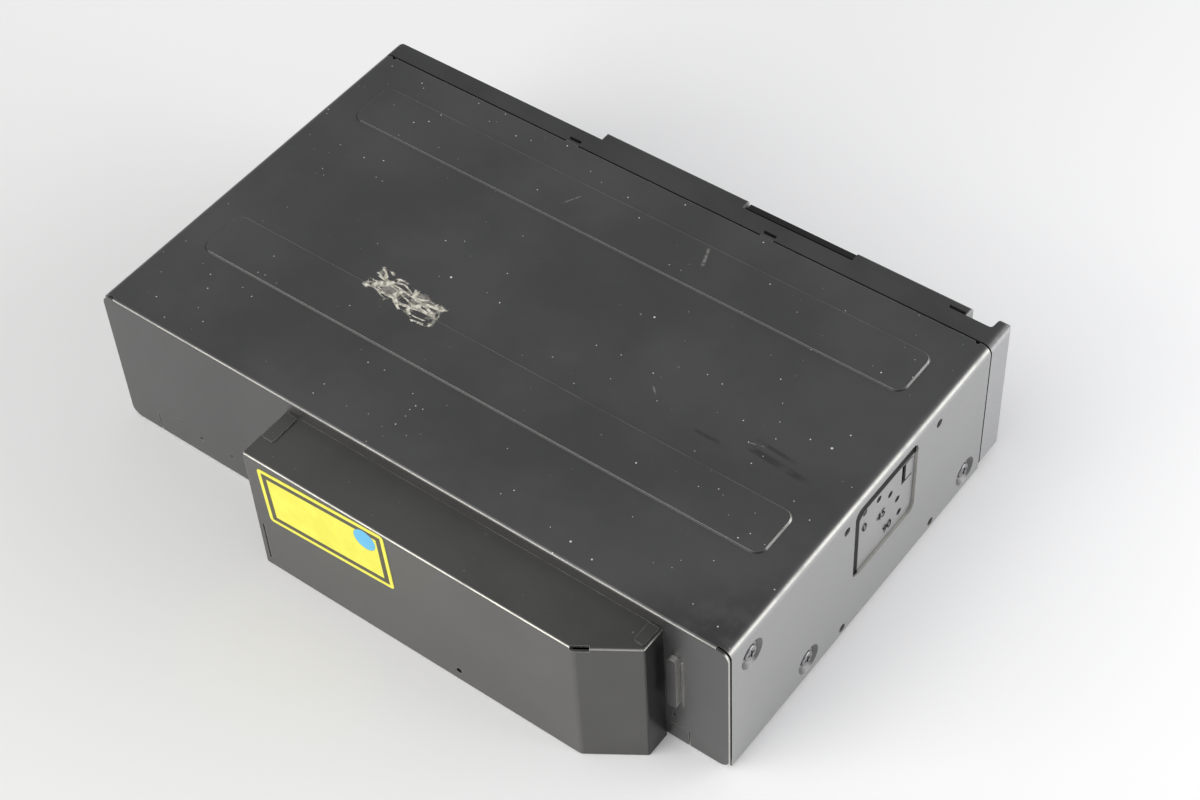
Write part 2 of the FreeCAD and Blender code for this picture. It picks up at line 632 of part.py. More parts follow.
def base_chassis():
    """Folded sheet base: floor, side flanges, front and rear flanges and the housing floor."""
    front = y_seam + BASE_SHEET
    back = rear_inside - PANEL_INSET
    bend = inner_bend(BASE_BEND, BASE_SHEET)
    tray = rounded_prism("y", [
        (-base_outer, BASE_FLANGE, 0), (-base_outer, 0, BASE_BEND),
        (base_outer, 0, BASE_BEND), (base_outer, BASE_FLANGE, 0),
        (base_inner, BASE_FLANGE, 0), (base_inner, BASE_SHEET, bend),
        (-base_inner, BASE_SHEET, bend), (-base_inner, BASE_FLANGE, 0)], front, back)
    flange_x = base_outer - 2 * BASE_BEND
    front_flange = box(-flange_x, flange_x, front, front + BASE_SHEET, 0, slot_low - 3 * BASE_SHEET)
    rear_high = BASE_FLANGE / 2
    rear_right = box(housing_right + LAP, flange_x, back - BASE_SHEET, back, 0, rear_high)
    rear_left = box(-flange_x, housing_left - LAP, back - BASE_SHEET, back, 0, rear_high)
    floor = housing_block(SHEET + PANEL_INSET, 0, BASE_SHEET)
    ear_top = z_edge + UPPER_SCREW[1] + DIMPLE_RADIUS
    ear = box(base_inner, base_outer, back - BASE_EAR_WIDTH, back, BASE_FLANGE - LAP, ear_top)
    base = join(tray, front_flange, rear_right, rear_left, floor, ear, mirrored(ear))
    for side in (-1, 1):
        for y, z in mount_places():
            room = rod(MOUNT_HOLE_RADIUS + 2 * SHEET, (side * half_width, y, z), (-side, 0, 0),
                       half_width - base_inner + 1)
            base = cut(base, room)
        for place in screw_places():
            at = (side * half_width, *place)
            tapped = rod(SCREW_RADIUS + SCREW_PLAY, at, (-side, 0, 0), half_width - base_inner + 1)
            base = cut(base, tapped)
        base = cut(base, selector_window(side, SELECTOR_RIM + 1, 0, half_width - base_inner + 1))
    return cut(base, *base_vents())


def base_vents():
    """Rows of long vent slots under the player and round holes near the corners."""
    slots = []
    corner = VENT_WIDTH / 2 - 0.1
    for row in range(VENT_ROWS):
        for column in range(VENT_COLUMNS):
            x = deck_left + VENT_PITCH + column * VENT_PITCH
            y = frame_front + FRAME_RIM + row * VENT_ROW_PITCH
            slots.append(rounded_box("z", x, x + VENT_WIDTH, y, y + VENT_LENGTH, corner, -1, BASE_SHEET + 1))
    for x in (-base_inner + TOOL_HOLE_X, base_inner - TOOL_HOLE_X):
        for y in (y_seam + TOOL_HOLE_Y, y_rear - TOOL_HOLE_Y):
            slots.append(upright(TOOL_HOLE, x, y, -1, BASE_SHEET + 1))
    return slots


def housing_block(inset, z0, z1):
    """Solid with the outline of the rear housing, drawn in by an inset."""
    slant = math.hypot(CHAMFER_X, CHAMFER_Y)
    right = housing_right - inset
    left = housing_left + inset
    back = y_back - inset
    long_x = housing_left + CHAMFER_X + inset * (slant - CHAMFER_X) / CHAMFER_Y
    long_y = y_back - CHAMFER_Y - inset * (slant - CHAMFER_Y) / CHAMFER_X
    start = y_rear - (LAP if inset else 0)
    return rounded_prism("z", [
        (right, start, 0), (right, back, HOUSING_BEND), (long_x, back, 3 * HOUSING_BEND),
        (left, long_y, HOUSING_BEND), (left, start, 0)], z0, z1)


def rear_housing():
    """Folded sheet cover of the rear housing, with a slanted corner and two folded tabs."""
    outer = housing_block(0, HOUSING_LIFT, housing_roof)
    roof = [edge for edge in outer.Edges
            if abs(edge.BoundBox.ZMin - housing_roof) < 1e-6
            and abs(edge.BoundBox.ZMax - housing_roof) < 1e-6
            and edge.BoundBox.YMax > y_rear + 1e-3]
    outer = outer.makeFillet(HOUSING_BEND * 0.9, roof)
    shell = cut(outer, housing_block(SHEET, -1, housing_roof - SHEET))
    tab_z = (housing_roof - SHEET / 2, housing_roof + HOUSING_TAB_RISE)
    right_tab = rounded_box("z", housing_right - HOUSING_TAB - HOUSING_BEND, housing_right - HOUSING_BEND,
                            y_rear + 0.7, y_rear + 12.6, 0.8, *tab_z)
    small_tab_left = housing_left + HOUSING_BEND
    left_tab = rounded_box("z", small_tab_left, small_tab_left + HOUSING_SMALL_TAB,
                           y_rear + 0.3, y_rear + 8.2, 0.8, *tab_z)
    relief = box(1.0 - RELIEF_LENGTH, 1.0, -1.7 * SHEET, 1.5, housing_roof - 1.5 * SHEET, housing_roof + 1)
    relief.rotate(Vector(0, 0, 0), Vector(0, 0, 1), math.degrees(math.atan2(CHAMFER_Y, CHAMFER_X)))
    relief.translate(Vector(housing_left + CHAMFER_X, y_back, 0))
    pilot = rod(1.1, (-37.6, y_back - LAP, HOUSING_LIFT + 4.9), (0, 1, 0), 2 * LAP)
    groove = box(housing_right - 3.4, housing_right - 2.4, y_back - SHEET / 3, y_back + 1,
                 HOUSING_LIFT + 3.5, HOUSING_LIFT + 21.5)
    socket_hole = rod(SOCKET_RADIUS + 0.2, (housing_right - LAP, socket_y, socket_z), (1, 0, 0), 2 * LAP)
    return cut(join(shell, right_tab, left_tab), relief, pilot, groove, socket_hole)


def rating_label():
    """Plain sticker with a clear border, on the rear face of the housing."""
    half_w = LABEL_WIDTH / 2
    half_h = LABEL_HEIGHT / 2
    sticker = rounded_box("y", -half_w, half_w, -half_h, half_h, 1.5, 0, LABEL_THICKNESS)
    sticker.rotate(Vector(0, 0, 0), Vector(0, 1, 0), LABEL_TILT)
    sticker.translate(Vector(housing_right - LABEL_INSET, y_back, housing_roof - LABEL_DROP))
    return sticker


def cover_screw(side, place):
    """Pan-head screw with a cross recess."""
    y, z = place
    seat = half_width - DIMPLE_DEPTH
    head = rod(SCREW_HEAD_RADIUS, (seat, y, z), (1, 0, 0), SCREW_HEAD_HEIGHT)
    rim = [edge for edge in head.Edges if edge.BoundBox.XMin > seat + SCREW_HEAD_HEIGHT - 1e-6]
    head = head.makeFillet(SCREW_HEAD_HEIGHT * 0.5, rim)
    shank = rod(SCREW_RADIUS, (seat + SCREW_PLAY, y, z), (-1, 0, 0), SCREW_LENGTH)
    arm = SCREW_HEAD_RADIUS * 0.6
    slot = SCREW_HEAD_RADIUS * 0.14
    deep = (seat + SCREW_HEAD_HEIGHT * 0.35, seat + SCREW_HEAD_HEIGHT + 1)
    cross = (box(*deep, y - arm, y + arm, z - slot, z + slot),
             box(*deep, y - slot, y + slot, z - arm, z + arm))
    screw = cut(join(head, shank), *cross)
    return screw if side > 0 else mirrored(screw)


def cover_screws():
    return group(cover_screw(side, place) for side in (-1, 1) for place in screw_places())


# ---------------------------------------------------------------- bezel
def front_bezel():
    """Moulded front: flat face, slot tunnel, button opening and the end cheek."""
    seam = y_seam - BEZEL_GAP
    low = z_edge + BEZEL_FOOT
    plan = rounded_prism("z", [
        (-half_width, seam, 0), (-half_width, y_tip, 2.0), (-half_width + HORN_WIDTH, y_tip, 1.8),
        (-half_width + HORN_FOOT, y_face, 1.2), (half_width, y_face, BEZEL_CORNER),
        (half_width, seam, 0)], low, z_top)
    front_view = rounded_prism("y", [
        (-half_width, low, BEZEL_WALL), (half_width, low, BEZEL_WALL),
        (half_width, z_top, SIDE_BEND), (-half_width, z_top, SIDE_BEND)], y_tip - 1, seam + 1)
    side_view = rounded_prism("x", [
        (seam + 1, low, 0), (seam + 1, z_top, 0), (y_tip, z_top, 2.6), (y_tip, low, 3.6)],
        -half_width - 1, half_width + 1)
    outer = plan.common(front_view).common(side_view)
    inner_x = half_width - BEZEL_WALL
    hollow = rounded_prism("y", [
        (-inner_x, low + BEZEL_WALL, 0), (inner_x, low + BEZEL_WALL, 0),
        (inner_x, z_top - BEZEL_WALL, inner_bend(SIDE_BEND, BEZEL_WALL)),
        (-inner_x, z_top - BEZEL_WALL, inner_bend(SIDE_BEND, BEZEL_WALL))],
        y_face + BEZEL_WALL, seam + 1)
    wall = BEZEL_WALL * 0.8
    tunnel = rounded_box("y", slot_left - wall, slot_right + wall, slot_low - wall, slot_high + wall,
                         1.5, y_face, y_face + SLOT_TUNNEL)
    tunnel = tunnel.common(box(-half_width, half_width, y_tip, y_seam, low, z_top - BEZEL_WALL / 2))
    shell = join(cut(outer, hollow), tunnel, *board_bosses())
    slot = slot_opening(y_tip - 1, seam + 1)
    half_w = BUTTON_WIDTH / 2 + BUTTON_PLAY
    half_h = BUTTON_HEIGHT / 2 + BUTTON_PLAY
    button_hole = rounded_box("y", button_x - half_w, button_x + half_w, button_z - half_h,
                              button_z + half_h, 1.2, y_face - 1, y_face + BEZEL_WALL + 1)
    windows = []
    for centre in latch_centres():
        middle = y_seam - 2.4
        windows.append(box(centre - LATCH_WIDTH / 2, centre + LATCH_WIDTH / 2, middle - LATCH_DEPTH / 2,
                           middle + LATCH_DEPTH / 2, z_top - BEZEL_WALL - 1, z_top + 1))
    return cut(shell, slot, button_hole, *windows)


def slot_opening(y0, y1):
    return rounded_box("y", slot_left, slot_right, slot_low, slot_high, 1.2, y0, y1)


def board_bosses():
    """Two bosses of the bezel that carry the front board."""
    bosses = []
    for x, z in board_screws():
        bosses.append(rod(2.0, (x, y_face + BEZEL_WALL / 2, z), (0, 1, 0),
                          front_board_y() - y_face - BEZEL_WALL / 2))
    return bosses


def board_screws():
    x = button_x + SWITCH_BOARD_SCREW_X
    return ((x, button_z - SWITCH_BOARD_SCREW_Z), (x, button_z + SWITCH_BOARD_SCREW_Z))


def front_board_y():
    return y_seam - 1.0


def slot_surround():
    """Raised frame around the magazine slot, with a finger notch in its top."""
    left = slot_left - SURROUND_WALL
    right = slot_right + SURROUND_WALL
    low = slot_low - SURROUND_WALL
    ring = rounded_prism("y", [
        (left, low, 2.0), (right, low, 2.0), (right, z_top, 1.0), (left, z_top, 1.0)],
        y_surround, y_face)
    side_view = rounded_prism("x", [
        (y_face + 1, low - 1, 0), (y_face + 1, z_top, 0), (y_surround, z_top, SURROUND_ROUND),
        (y_surround, low, SURROUND_ROUND), (y_surround + LAP, low - 1, 0)], left - 1, right + 1)
    ring = ring.common(side_view)
    notch = rounded_box("y", notch_left, notch_right, slot_high - LAP, z_top + 4, 1.0,
                        y_surround - 1, y_face + 1)
    pocket = box(left + 0.8, left + 7.0, y_face - 1.3, y_face + 1, z_top - 3.0, z_top + 1)
    return cut(ring, slot_opening(y_surround - 1, y_face + 1), notch, pocket)


def eject_button():
    """Push button with a flange behind the bezel and a plunger towards its switch."""
    half_w = BUTTON_WIDTH / 2
    half_h = BUTTON_HEIGHT / 2
    inside = y_face + BEZEL_WALL
    cap = rounded_box("y", button_x - half_w, button_x + half_w, button_z - half_h, button_z + half_h,
                      0.9, y_face - BUTTON_STAND, inside + 0.4)
    front = [edge for edge in cap.Edges if edge.BoundBox.YMax < y_face - BUTTON_STAND + 1e-6]
    cap = cap.makeFillet(0.5, front)
    grow = 1.4
    flange = box(button_x - half_w - grow, button_x + half_w + grow, inside + 0.2, inside + 0.9,
                 button_z - half_h - grow, button_z + half_h + grow)
    plunger = rod(1.5, (button_x, inside, button_z), (0, 1, 0),
                  switch_front() - BUTTON_TRAVEL - 0.1 - inside)
    return join(cap, flange, plunger)


def switch_front():
    return front_board_y() - SWITCH_DEPTH


def front_board():
    """Upright board behind the bezel with the eject switch and a small connector."""
    y0 = front_board_y()
    board = box(button_x - SWITCH_BOARD_LEFT, button_x + SWITCH_BOARD_RIGHT, y0, y0 + SWITCH_BOARD_SHEET,
                button_z - SWITCH_BOARD_HALF, button_z + SWITCH_BOARD_HALF)
    for x, z in board_screws():
        board = cut(board, rod(SWITCH_BOARD_HOLE, (x, y0 - 1, z), (0, 1, 0), SWITCH_BOARD_SHEET + 2))
    switch = box(button_x - SWITCH_HALF, button_x + SWITCH_HALF, switch_front(), y0,
                 button_z - SWITCH_HALF, button_z + SWITCH_HALF)
    plug_x = button_x + SWITCH_PLUG_START
    plug_z = button_z - SWITCH_BOARD_HALF + 1.0
    plug = box(plug_x, plug_x + SWITCH_PLUG_LENGTH, y0 - SWITCH_PLUG_DEPTH, y0,
               plug_z, plug_z + SWITCH_PLUG_HEIGHT)
    return group([join(board, switch, plug)])


# ---------------------------------------------------------------- selector
def selector_places():
    """Centres of the arc of selector holes as (Y, Z), from the top towards the front."""
    y = y_rear - SELECTOR_PIVOT_REAR
    z = z_edge + SELECTOR_PIVOT_HIGH
    step = math.pi / 2 / (SELECTOR_POSITIONS - 1)
    return [(y - SELECTOR_SWING * math.sin(i * step), z + SELECTOR_SWING * math.cos(i * step))
            for i in range(SELECTOR_POSITIONS)]


def selector_plate(side):
    """Sunk plate behind the selector window, with the arc of holes and a spring tab."""
    pan = selector_window(side, 0, SELECTOR_SINK, SELECTOR_SINK + SELECTOR_SHEET)
    rim = selector_window(side, SELECTOR_RIM, SHEET, SELECTOR_SINK)
    opening = selector_window(side, -SELECTOR_SHEET / 2, SHEET - 1, SELECTOR_SINK)
    step = selector_window(side, SELECTOR_SHEET, SELECTOR_SINK, SELECTOR_SINK + SELECTOR_SHEET)
    flat = box(-half_width, half_width, y_seam, y_rear, z_edge, z_top - SIDE_BEND)
    plate = join(pan, step, rim.cut(opening).common(flat))
    outside = side * half_width
    inward = (-side, 0, 0)
    deep = SELECTOR_SINK + SELECTOR_SHEET + 1
    for y, z in selector_places():
        plate = cut(plate, rod(SELECTOR_HOLE, (outside, y, z), inward, deep))
    x0 = min(outside, outside - side * deep)
    front = y_rear - SELECTOR_REAR - SELECTOR_LENGTH
    low = z_edge + SELECTOR_LOW + SELECTOR_TAB_RISE
    high = low + SELECTOR_TAB_HEIGHT
    root = front + SELECTOR_TAB_SET
    tip = root + SELECTOR_TAB_LENGTH
    tab = (box(x0, x0 + deep, root, tip, low, low + SELECTOR_TAB_SLIT),
           box(x0, x0 + deep, root, tip, high - SELECTOR_TAB_SLIT, high),
           box(x0, x0 + deep, tip - SELECTOR_TAB_SLIT, tip + SELECTOR_TAB_GAP, low, high))
    pivot = rod(SELECTOR_PIN, (outside - side * (SELECTOR_SINK + SELECTOR_SHEET / 2), *selector_pivot()),
                inward, SELECTOR_SHEET / 2 + LEVER_GAP + LEVER_SHEET + 1.0)
    return join(cut(plate, *tab), pivot)


def selector_pivot():
    return y_rear - SELECTOR_PIVOT_REAR, z_edge + SELECTOR_PIVOT_HIGH


def selector_lever(side):
    """Lever behind the plate; its white end shows through one hole of the arc."""
    y, z = selector_pivot()
    x = half_width - SELECTOR_SINK - SELECTOR_SHEET - LEVER_GAP
    arm = box(x - LEVER_SHEET, x, y - 2.2, y + 2.2, z, z + SELECTOR_SWING)
    hub = rod(4.2, (x, y, z), (-1, 0, 0), LEVER_SHEET)
    end = rod(2.6, (x, y, z + SELECTOR_SWING), (-1, 0, 0), LEVER_SHEET)
    tip = rod(SELECTOR_PIN, (x - 0.1, y, z + SELECTOR_SWING), (1, 0, 0), LEVER_GAP - 0.15)
    bore = rod(SELECTOR_PIN + SHAFT_PLAY, (x + 1, y, z), (-1, 0, 0), LEVER_SHEET + 2)
    lever = cut(join(arm, hub, end, tip), bore)
    return lever if side > 0 else mirrored(lever)


# ---------------------------------------------------------------- magazine, trays and discs
def tray_left():
    return magazine_left + MAGAZINE_WALL + TRAY_PLAY


def tray_outline(grow, low, high):
    """Plan of a tray: square to the left, half round to the right."""
    left = box(tray_left() - grow, slot_centre, disc_y - tray_radius - grow,
               disc_y + tray_radius + grow, low, high)
    return left.fuse(upright(tray_radius + grow, slot_centre, disc_y, low, high)).removeSplitter()


def hook_x():
    """Middle of the notch in the rear edge of each tray."""
    return slot_centre + tray_radius * 0.72


def disc_tray(index):
    """Thin tray with a seat for the disc, a spindle opening and a pickup slot."""
    level = disc_level(index)
    plate = tray_outline(0, level - TRAY_BELOW, level + TRAY_ABOVE)
    seat = upright(DISC_RADIUS + 0.6, slot_centre, disc_y, level - DISC_THICKNESS / 2 - 0.3, level + 2)
    spindle = upright(PLATTER_RADIUS + 2.5, slot_centre, disc_y, level - 3, level + 2)
    half = GUIDE_SPACING / 2 - 0.5
    slot = box(slot_centre - half, slot_centre + half, disc_y, disc_y + DISC_RADIUS - 1.5,
               level - 3, level + 2)
    edge = disc_y + tray_radius
    notch = box(hook_x() - 2.2, hook_x() + 2.2, edge - 8.0, edge + 1, level - 3, level + 2)
    lands = []
    for turn in (40, 140, 220, 320):
        angle = math.radians(turn)
        lands.append(upright(2.6, slot_centre + (DISC_RADIUS - 4) * math.cos(angle),
                             disc_y + (DISC_RADIUS - 4) * math.sin(angle),
                             level - TRAY_BELOW + 0.2, level - DISC_THICKNESS / 2))
    return cut(join(cut(plate, seat), *lands), spindle, slot, notch)


def disc(index):
    """Compact disc, 120 mm, with its clamping ring."""
    level = disc_level(index)
    half = DISC_THICKNESS / 2
    body = upright(DISC_RADIUS, slot_centre, disc_y, level - half, level + half)
    groove = upright(18.0, slot_centre, disc_y, level + half - 0.1, level + 1)
    keep = upright(17.4, slot_centre, disc_y, level, level + half)
    ring = upright(DISC_BORE, slot_centre, disc_y, level - 1, level + 1)
    return cut(join(cut(body, groove), keep), ring)


def magazine_case():
    """Flat case, open to the right, with shelves for the trays and a grip lip in front."""
    back = magazine_back
    inside_front = magazine_front + MAGAZINE_GRIP
    inside_back = back - MAGAZINE_WALL
    outer = rounded_box("z", magazine_left, magazine_right, magazine_front, back, 2.5,
                        magazine_bottom, magazine_top)
    room = box(magazine_left + MAGAZINE_WALL, magazine_right + 1, inside_front, inside_back,
               magazine_bottom + MAGAZINE_WALL, magazine_top - MAGAZINE_WALL)
    relief = box(hook_x() - 3.0, magazine_right + 1, inside_back - 1, back + 1,
                 magazine_bottom + MAGAZINE_WALL, magazine_top - MAGAZINE_WALL)
    shelves = []
    for index in range(DISC_COUNT):
        top = disc_level(index) - TRAY_BELOW - TRAY_PLAY
        low = max(top - 1.0, magazine_bottom + MAGAZINE_WALL - 0.1)
        for y0, y1 in ((inside_front - 1, inside_front + 3.0), (inside_back - 3.0, inside_back + 1)):
            end = magazine_right - 6.0 if y0 < disc_y else hook_x() - 3.0
            shelves.append(box(magazine_left + 1, end, y0, y1, low, top))
    case = join(cut(outer, room, relief), *shelves)
    lip = rounded_box("y", notch_left + LIP_PLAY, notch_right - LIP_PLAY, magazine_top - 1,
                      magazine_top + LIP_RISE, 0.8, magazine_front, magazine_front + LIP_THICKNESS)
    grip = rounded_box("z", notch_left + 4, notch_right - 4, magazine_front + 3.0, magazine_front + 8.0,
                       2.0, magazine_top - 6.0, magazine_top + 1)
    return join(cut(join(case, lip), grip, magazine_arrow(), magazine_pull()), *pull_ridges())


def magazine_arrow():
    """Sunk arrow on the roof of the magazine that shows which way it goes in."""
    middle = slot_left + ARROW_INSET
    foot = magazine_front + ARROW_SETBACK
    half = ARROW_WIDTH / 2
    corners = [(middle - half, foot, 0.4), (middle + half, foot, 0.4), (middle, foot + ARROW_LENGTH, 0.4)]
    return rounded_prism("z", corners, magazine_top - ARROW_DEPTH, magazine_top + 1)


def magazine_pull():
    """Finger recess in the front of the magazine."""
    low = magazine_bottom + PULL_LOW
    return rounded_box("y", slot_centre - PULL_HALF, slot_centre + PULL_HALF, low, low + PULL_HEIGHT,
                       PULL_CORNER, magazine_front - 1, magazine_front + PULL_DEPTH)


def pull_ridges():
    """Ridges on the floor of the finger recess."""
    half = PULL_HALF - RIDGE_INSET
    ridges = []
    for index in range(RIDGE_COUNT):
        z = magazine_bottom + PULL_LOW + RIDGE_START + index * RIDGE_PITCH
        ridges.append(rounded_box("y", slot_centre - half, slot_centre + half, z, z + RIDGE_WIDTH, 0.6,
                                  magazine_front + PULL_DEPTH - 1.0, magazine_front + PULL_DEPTH + 0.5))
    return ridges


# ---------------------------------------------------------------- mechanism frame
def damper_places():
    ys = (frame_front + FRAME_DAMPER_FRONT, frame_back - FRAME_DAMPER_REAR)
    return [(y, FRAME_DAMPER_Z) for y in ys]


def pinion_place(teeth, gear_teeth, x, y, direction):
    """Centre of a pinion that meshes with a gear at (x, y), seen in a direction in degrees."""
    reach = MODULE * (teeth + gear_teeth) / 2
    angle = math.radians(direction)
    return x + reach * math.cos(angle), y + reach * math.sin(angle)




def lift_motor_place():
    return pinion_place(LIFT_PINION_TEETH, LIFT_GEAR_TEETH, left_screw_x, lead_screw_y, LIFT_MOTOR_SIDE)


def gear_floor():
    return FRAME_HEIGHT + FRAME_SHEET + 0.3


def bracket_z():
    return deck_z + BRIDGE_RISE + BRIDGE_SHEET + 0.2


def mechanism_frame():
    """Folded frame that floats in the case and carries the lift, cradle and boards."""
    side = frame_side
    low = FRAME_HEIGHT
    top = low + FRAME_SHEET
    floor = box(-side, side, frame_front, frame_back, low, top)
    floor_tail = box(left_screw_x - 24, left_screw_x + 14, frame_back - 1, y_back - 8 * SHEET, low, top)
    right_wall = box(side - FRAME_SHEET, side, frame_front, frame_back, low, FRAME_WALL)
    left_wall = box(-side, FRAME_SHEET - side, frame_front, frame_back, low, FRAME_WALL)
    frame = join(floor, floor_tail, right_wall, left_wall)
    windows = [rounded_box("z", deck_left + 8, deck_right - 8, frame_front + FRAME_RIM, frame_back - 24, 3,
                           low - 1, top + 1)]
    for column in range(FRAME_WINDOWS):
        x = magazine_left + FRAME_WINDOW_MARGIN + column * FRAME_WINDOW_PITCH
        windows.append(rounded_box("z", x, x + FRAME_WINDOW, frame_front + FRAME_RIM + 4, frame_back - 36, 3,
                                   low - 1, top + 1))
    frame = cut(frame, *windows)
    posts = []
    for x, y in main_board_posts():
        posts.append(upright(2.4, x, y, top - 0.2, BOARD_HEIGHT))
    guide = upright(LEAD_SCREW_RADIUS, right_screw_x, post_y, top - 0.2, deck_z + BUSH_ABOVE + 1.5)
    leg_x = side - FRAME_SHEET
    half = 5.0
    right_leg = box(leg_x, side, lead_screw_y - half, lead_screw_y + half, FRAME_WALL - 1,
                    bracket_z() + FRAME_SHEET)
    left_leg = box(left_screw_x - 18.4, left_screw_x - 17.2, lead_screw_y - half - 3, lead_screw_y - 3,
                   top - 0.2, bracket_z() + FRAME_SHEET)
    strip = box(left_screw_x - 18.4, side, lead_screw_y - half, lead_screw_y + half,
                bracket_z(), bracket_z() + FRAME_SHEET)
    motor_x, motor_y = lift_motor_place()
    column = upright(3.0, motor_x - 10.5, motor_y + 8.5, top - 0.2, motor_floor())
    plate = upright(LIFT_MOTOR_RADIUS + 1.5, motor_x, motor_y, motor_floor() - FRAME_SHEET, motor_floor())
    spindle = upright(SHAFT_RADIUS + 0.6, motor_x, motor_y, 0, motor_floor() + 1)
    frame = join(frame, guide, right_leg, left_leg, strip, column, plate, *posts)
    pulls = [spindle]
    for x in (left_screw_x, right_screw_x):
        pulls.append(upright(SHAFT_RADIUS * 1.5 + SHAFT_PLAY, x, lead_screw_y, low - 1, top + 1))
        pulls.append(upright(SHAFT_RADIUS * 1.5 + SHAFT_PLAY, x, lead_screw_y, bracket_z() - 1,
                             bracket_z() + FRAME_SHEET + 1))
    return cut(frame, *pulls)


def motor_floor():
    """Underside of the lift motor."""
    return gear_floor() + GEAR_WIDTH + 2.2


def main_board_box():
    """Plan of the main board: left, right, front and back edges."""
    return (magazine_left + BOARD_MARGIN, magazine_right - 2 * BOARD_MARGIN,
            frame_front + 2 * BOARD_MARGIN, magazine_back - BOARD_MARGIN)


def main_board_posts():
    left, right, front, back = main_board_box()
    return [(x, y) for x in (left + BOARD_CORNER, right - BOARD_CORNER)
            for y in (front + BOARD_CORNER, back - BOARD_CORNER)]


def frame_dampers():
    """Rubber dampers between the frame and the side flanges of the base."""
    dampers = []
    for y, z in damper_places():
        length = base_inner - frame_side
        third = length / 3
        at = frame_side
        damper = join(rod(DAMPER_RADIUS, (at, y, z), (1, 0, 0), third),
                      rod(DAMPER_WAIST, (at, y, z), (1, 0, 0), length),
                      rod(DAMPER_RADIUS, (at + 2 * third, y, z), (1, 0, 0), third))
        dampers += [damper, mirrored(damper)]
    return group(dampers)


def magazine_cradle():
    """Tray that holds the magazine, with side walls and four legs on the frame."""
    top = magazine_bottom - 0.3
    low = top - CRADLE_SHEET
    left = magazine_left - CRADLE_PLAY
    right = magazine_right + CRADLE_PLAY
    front = frame_front + 1.0
    back = magazine_back + 0.5
    floor = box(left - CRADLE_SHEET, right + CRADLE_SHEET, front, back, low, top)
    left_wall = box(left - CRADLE_SHEET, left, front, back - 24.0, low, magazine_top - 4)
    right_lip = box(right, right + CRADLE_SHEET, front, back, low, top + 2.0)
    legs = []
    foot = FRAME_HEIGHT + FRAME_SHEET
    for x in (left - CRADLE_SHEET, right - 3.0):
        for y in (front, back - 8.0):
            legs.append(box(x, x + 4.0, y, y + 4.0, foot, low + 0.2))
    lightening = [rounded_box("z", x, x + 38, front + 24, back - 24, 4, low - 1, top + 1)
                  for x in (left + 10, left + 60)]
    return cut(join(floor, left_wall, right_lip, *legs), *lightening)


def main_board():
    """Control board under the magazine, with rows of chips and capacitors."""
    left, right, front, back = main_board_box()
    low = BOARD_HEIGHT
    top = low + BOARD_SHEET
    board = box(left, right, front, back, low, top)
    holes = [upright(1.2, x, y, low - 1, top + 1) for x, y in main_board_posts()]
    pitch = 2 * CHIP_SIZE
    blocks = []
    for column in range(int((right - left - pitch) / pitch)):
        x = left + CHIP_SIZE + column * pitch
        depth = CHIP_SIZE if column % 2 else CHIP_SIZE / 2
        blocks.append(box(x, x + CHIP_SIZE, front + CHIP_SIZE, front + CHIP_SIZE + depth, top - 0.1,
                          top + CHIP_HEIGHT))
        blocks.append(box(x, x + CHIP_SIZE + depth / 2, back - pitch, back - pitch + depth, top - 0.1,
                          top + CHIP_HEIGHT / 2))
        blocks.append(upright(CAN_RADIUS, x + pitch / 4, (front + back) / 2, top - 0.1, top + CAN_HEIGHT))
    return join(cut(board, *holes), *blocks)


def rear_board():
    """Upright output board in the rear housing, with a connector, a chip and capacitors."""
    y1 = y_back - REAR_BOARD_GAP
    y0 = y1 - BOARD_SHEET
    left = housing_left + CHAMFER_X + HOUSING_BEND * 8
    right = housing_right - SOCKET_LENGTH - 3 * HOUSING_BEND
    high = housing_roof - CHIP_SIZE / 2 - HOUSING_BEND
    board = box(left, right, y0, y1, BASE_SHEET, high)
    plug = box(right - 2 * CHIP_SIZE, right - CHIP_SIZE / 2, y0 - 3 * CHIP_HEIGHT, y0 + 0.1,
               high - CHIP_SIZE, high - CHIP_SIZE / 2)
    chip = box(left + CHIP_SIZE / 2, left + 2 * CHIP_SIZE, y0 - CHIP_HEIGHT, y0 + 0.1,
               BASE_SHEET + CHIP_SIZE / 2, BASE_SHEET + 1.5 * CHIP_SIZE)
    cans = []
    for column in range(3):
        x = left + CHIP_SIZE / 2 + column * CHIP_SIZE
        cans.append(rod(CAN_RADIUS, (x, y0 + 0.1, high - CHIP_SIZE / 2), (0, -1, 0), 2 * CAN_HEIGHT))
    feet = [box(x, x + CHIP_SIZE / 2, y1 - 0.1, y_back - SHEET, CHIP_SIZE / 2, CHIP_SIZE)
            for x in (left + 2, right - CHIP_SIZE)]
    return join(board, plug, chip, *cans, *feet)


def connector_socket():
    """Round eight-pin socket in the side wall of the housing."""
    y = socket_y
    outer = housing_right
    shell = rod(SOCKET_RADIUS, (outer - SOCKET_LENGTH, y, socket_z), (1, 0, 0), SOCKET_LENGTH + 1.2)
    flange = rod(SOCKET_FLANGE - 1.0, (outer, y, socket_z), (1, 0, 0), 1.2)
    inner_end = outer - SOCKET_LENGTH
    well = rod(SOCKET_RADIUS - 0.9, (inner_end + 2.0, y, socket_z), (1, 0, 0), SOCKET_LENGTH + 2)
    key = box(inner_end + 1, outer + 1.0, y - 1.2, y + 1.2, socket_z - SOCKET_RADIUS + 0.4,
              socket_z - SOCKET_RADIUS + 2.0)
    pins = []
    for index in range(SOCKET_PINS):
        ring = SOCKET_PIN_RING if index else 0.0
        angle = math.radians(SOCKET_PIN_ARC / (SOCKET_PINS - 2) * (index - 1) - 60)
        root = (inner_end + 1, y + ring * math.sin(angle), socket_z + ring * math.cos(angle))
        pins.append(rod(SOCKET_PIN, root, (1, 0, 0), SOCKET_LENGTH - 6.0))
    return join(cut(join(shell, flange), well), key, *pins)


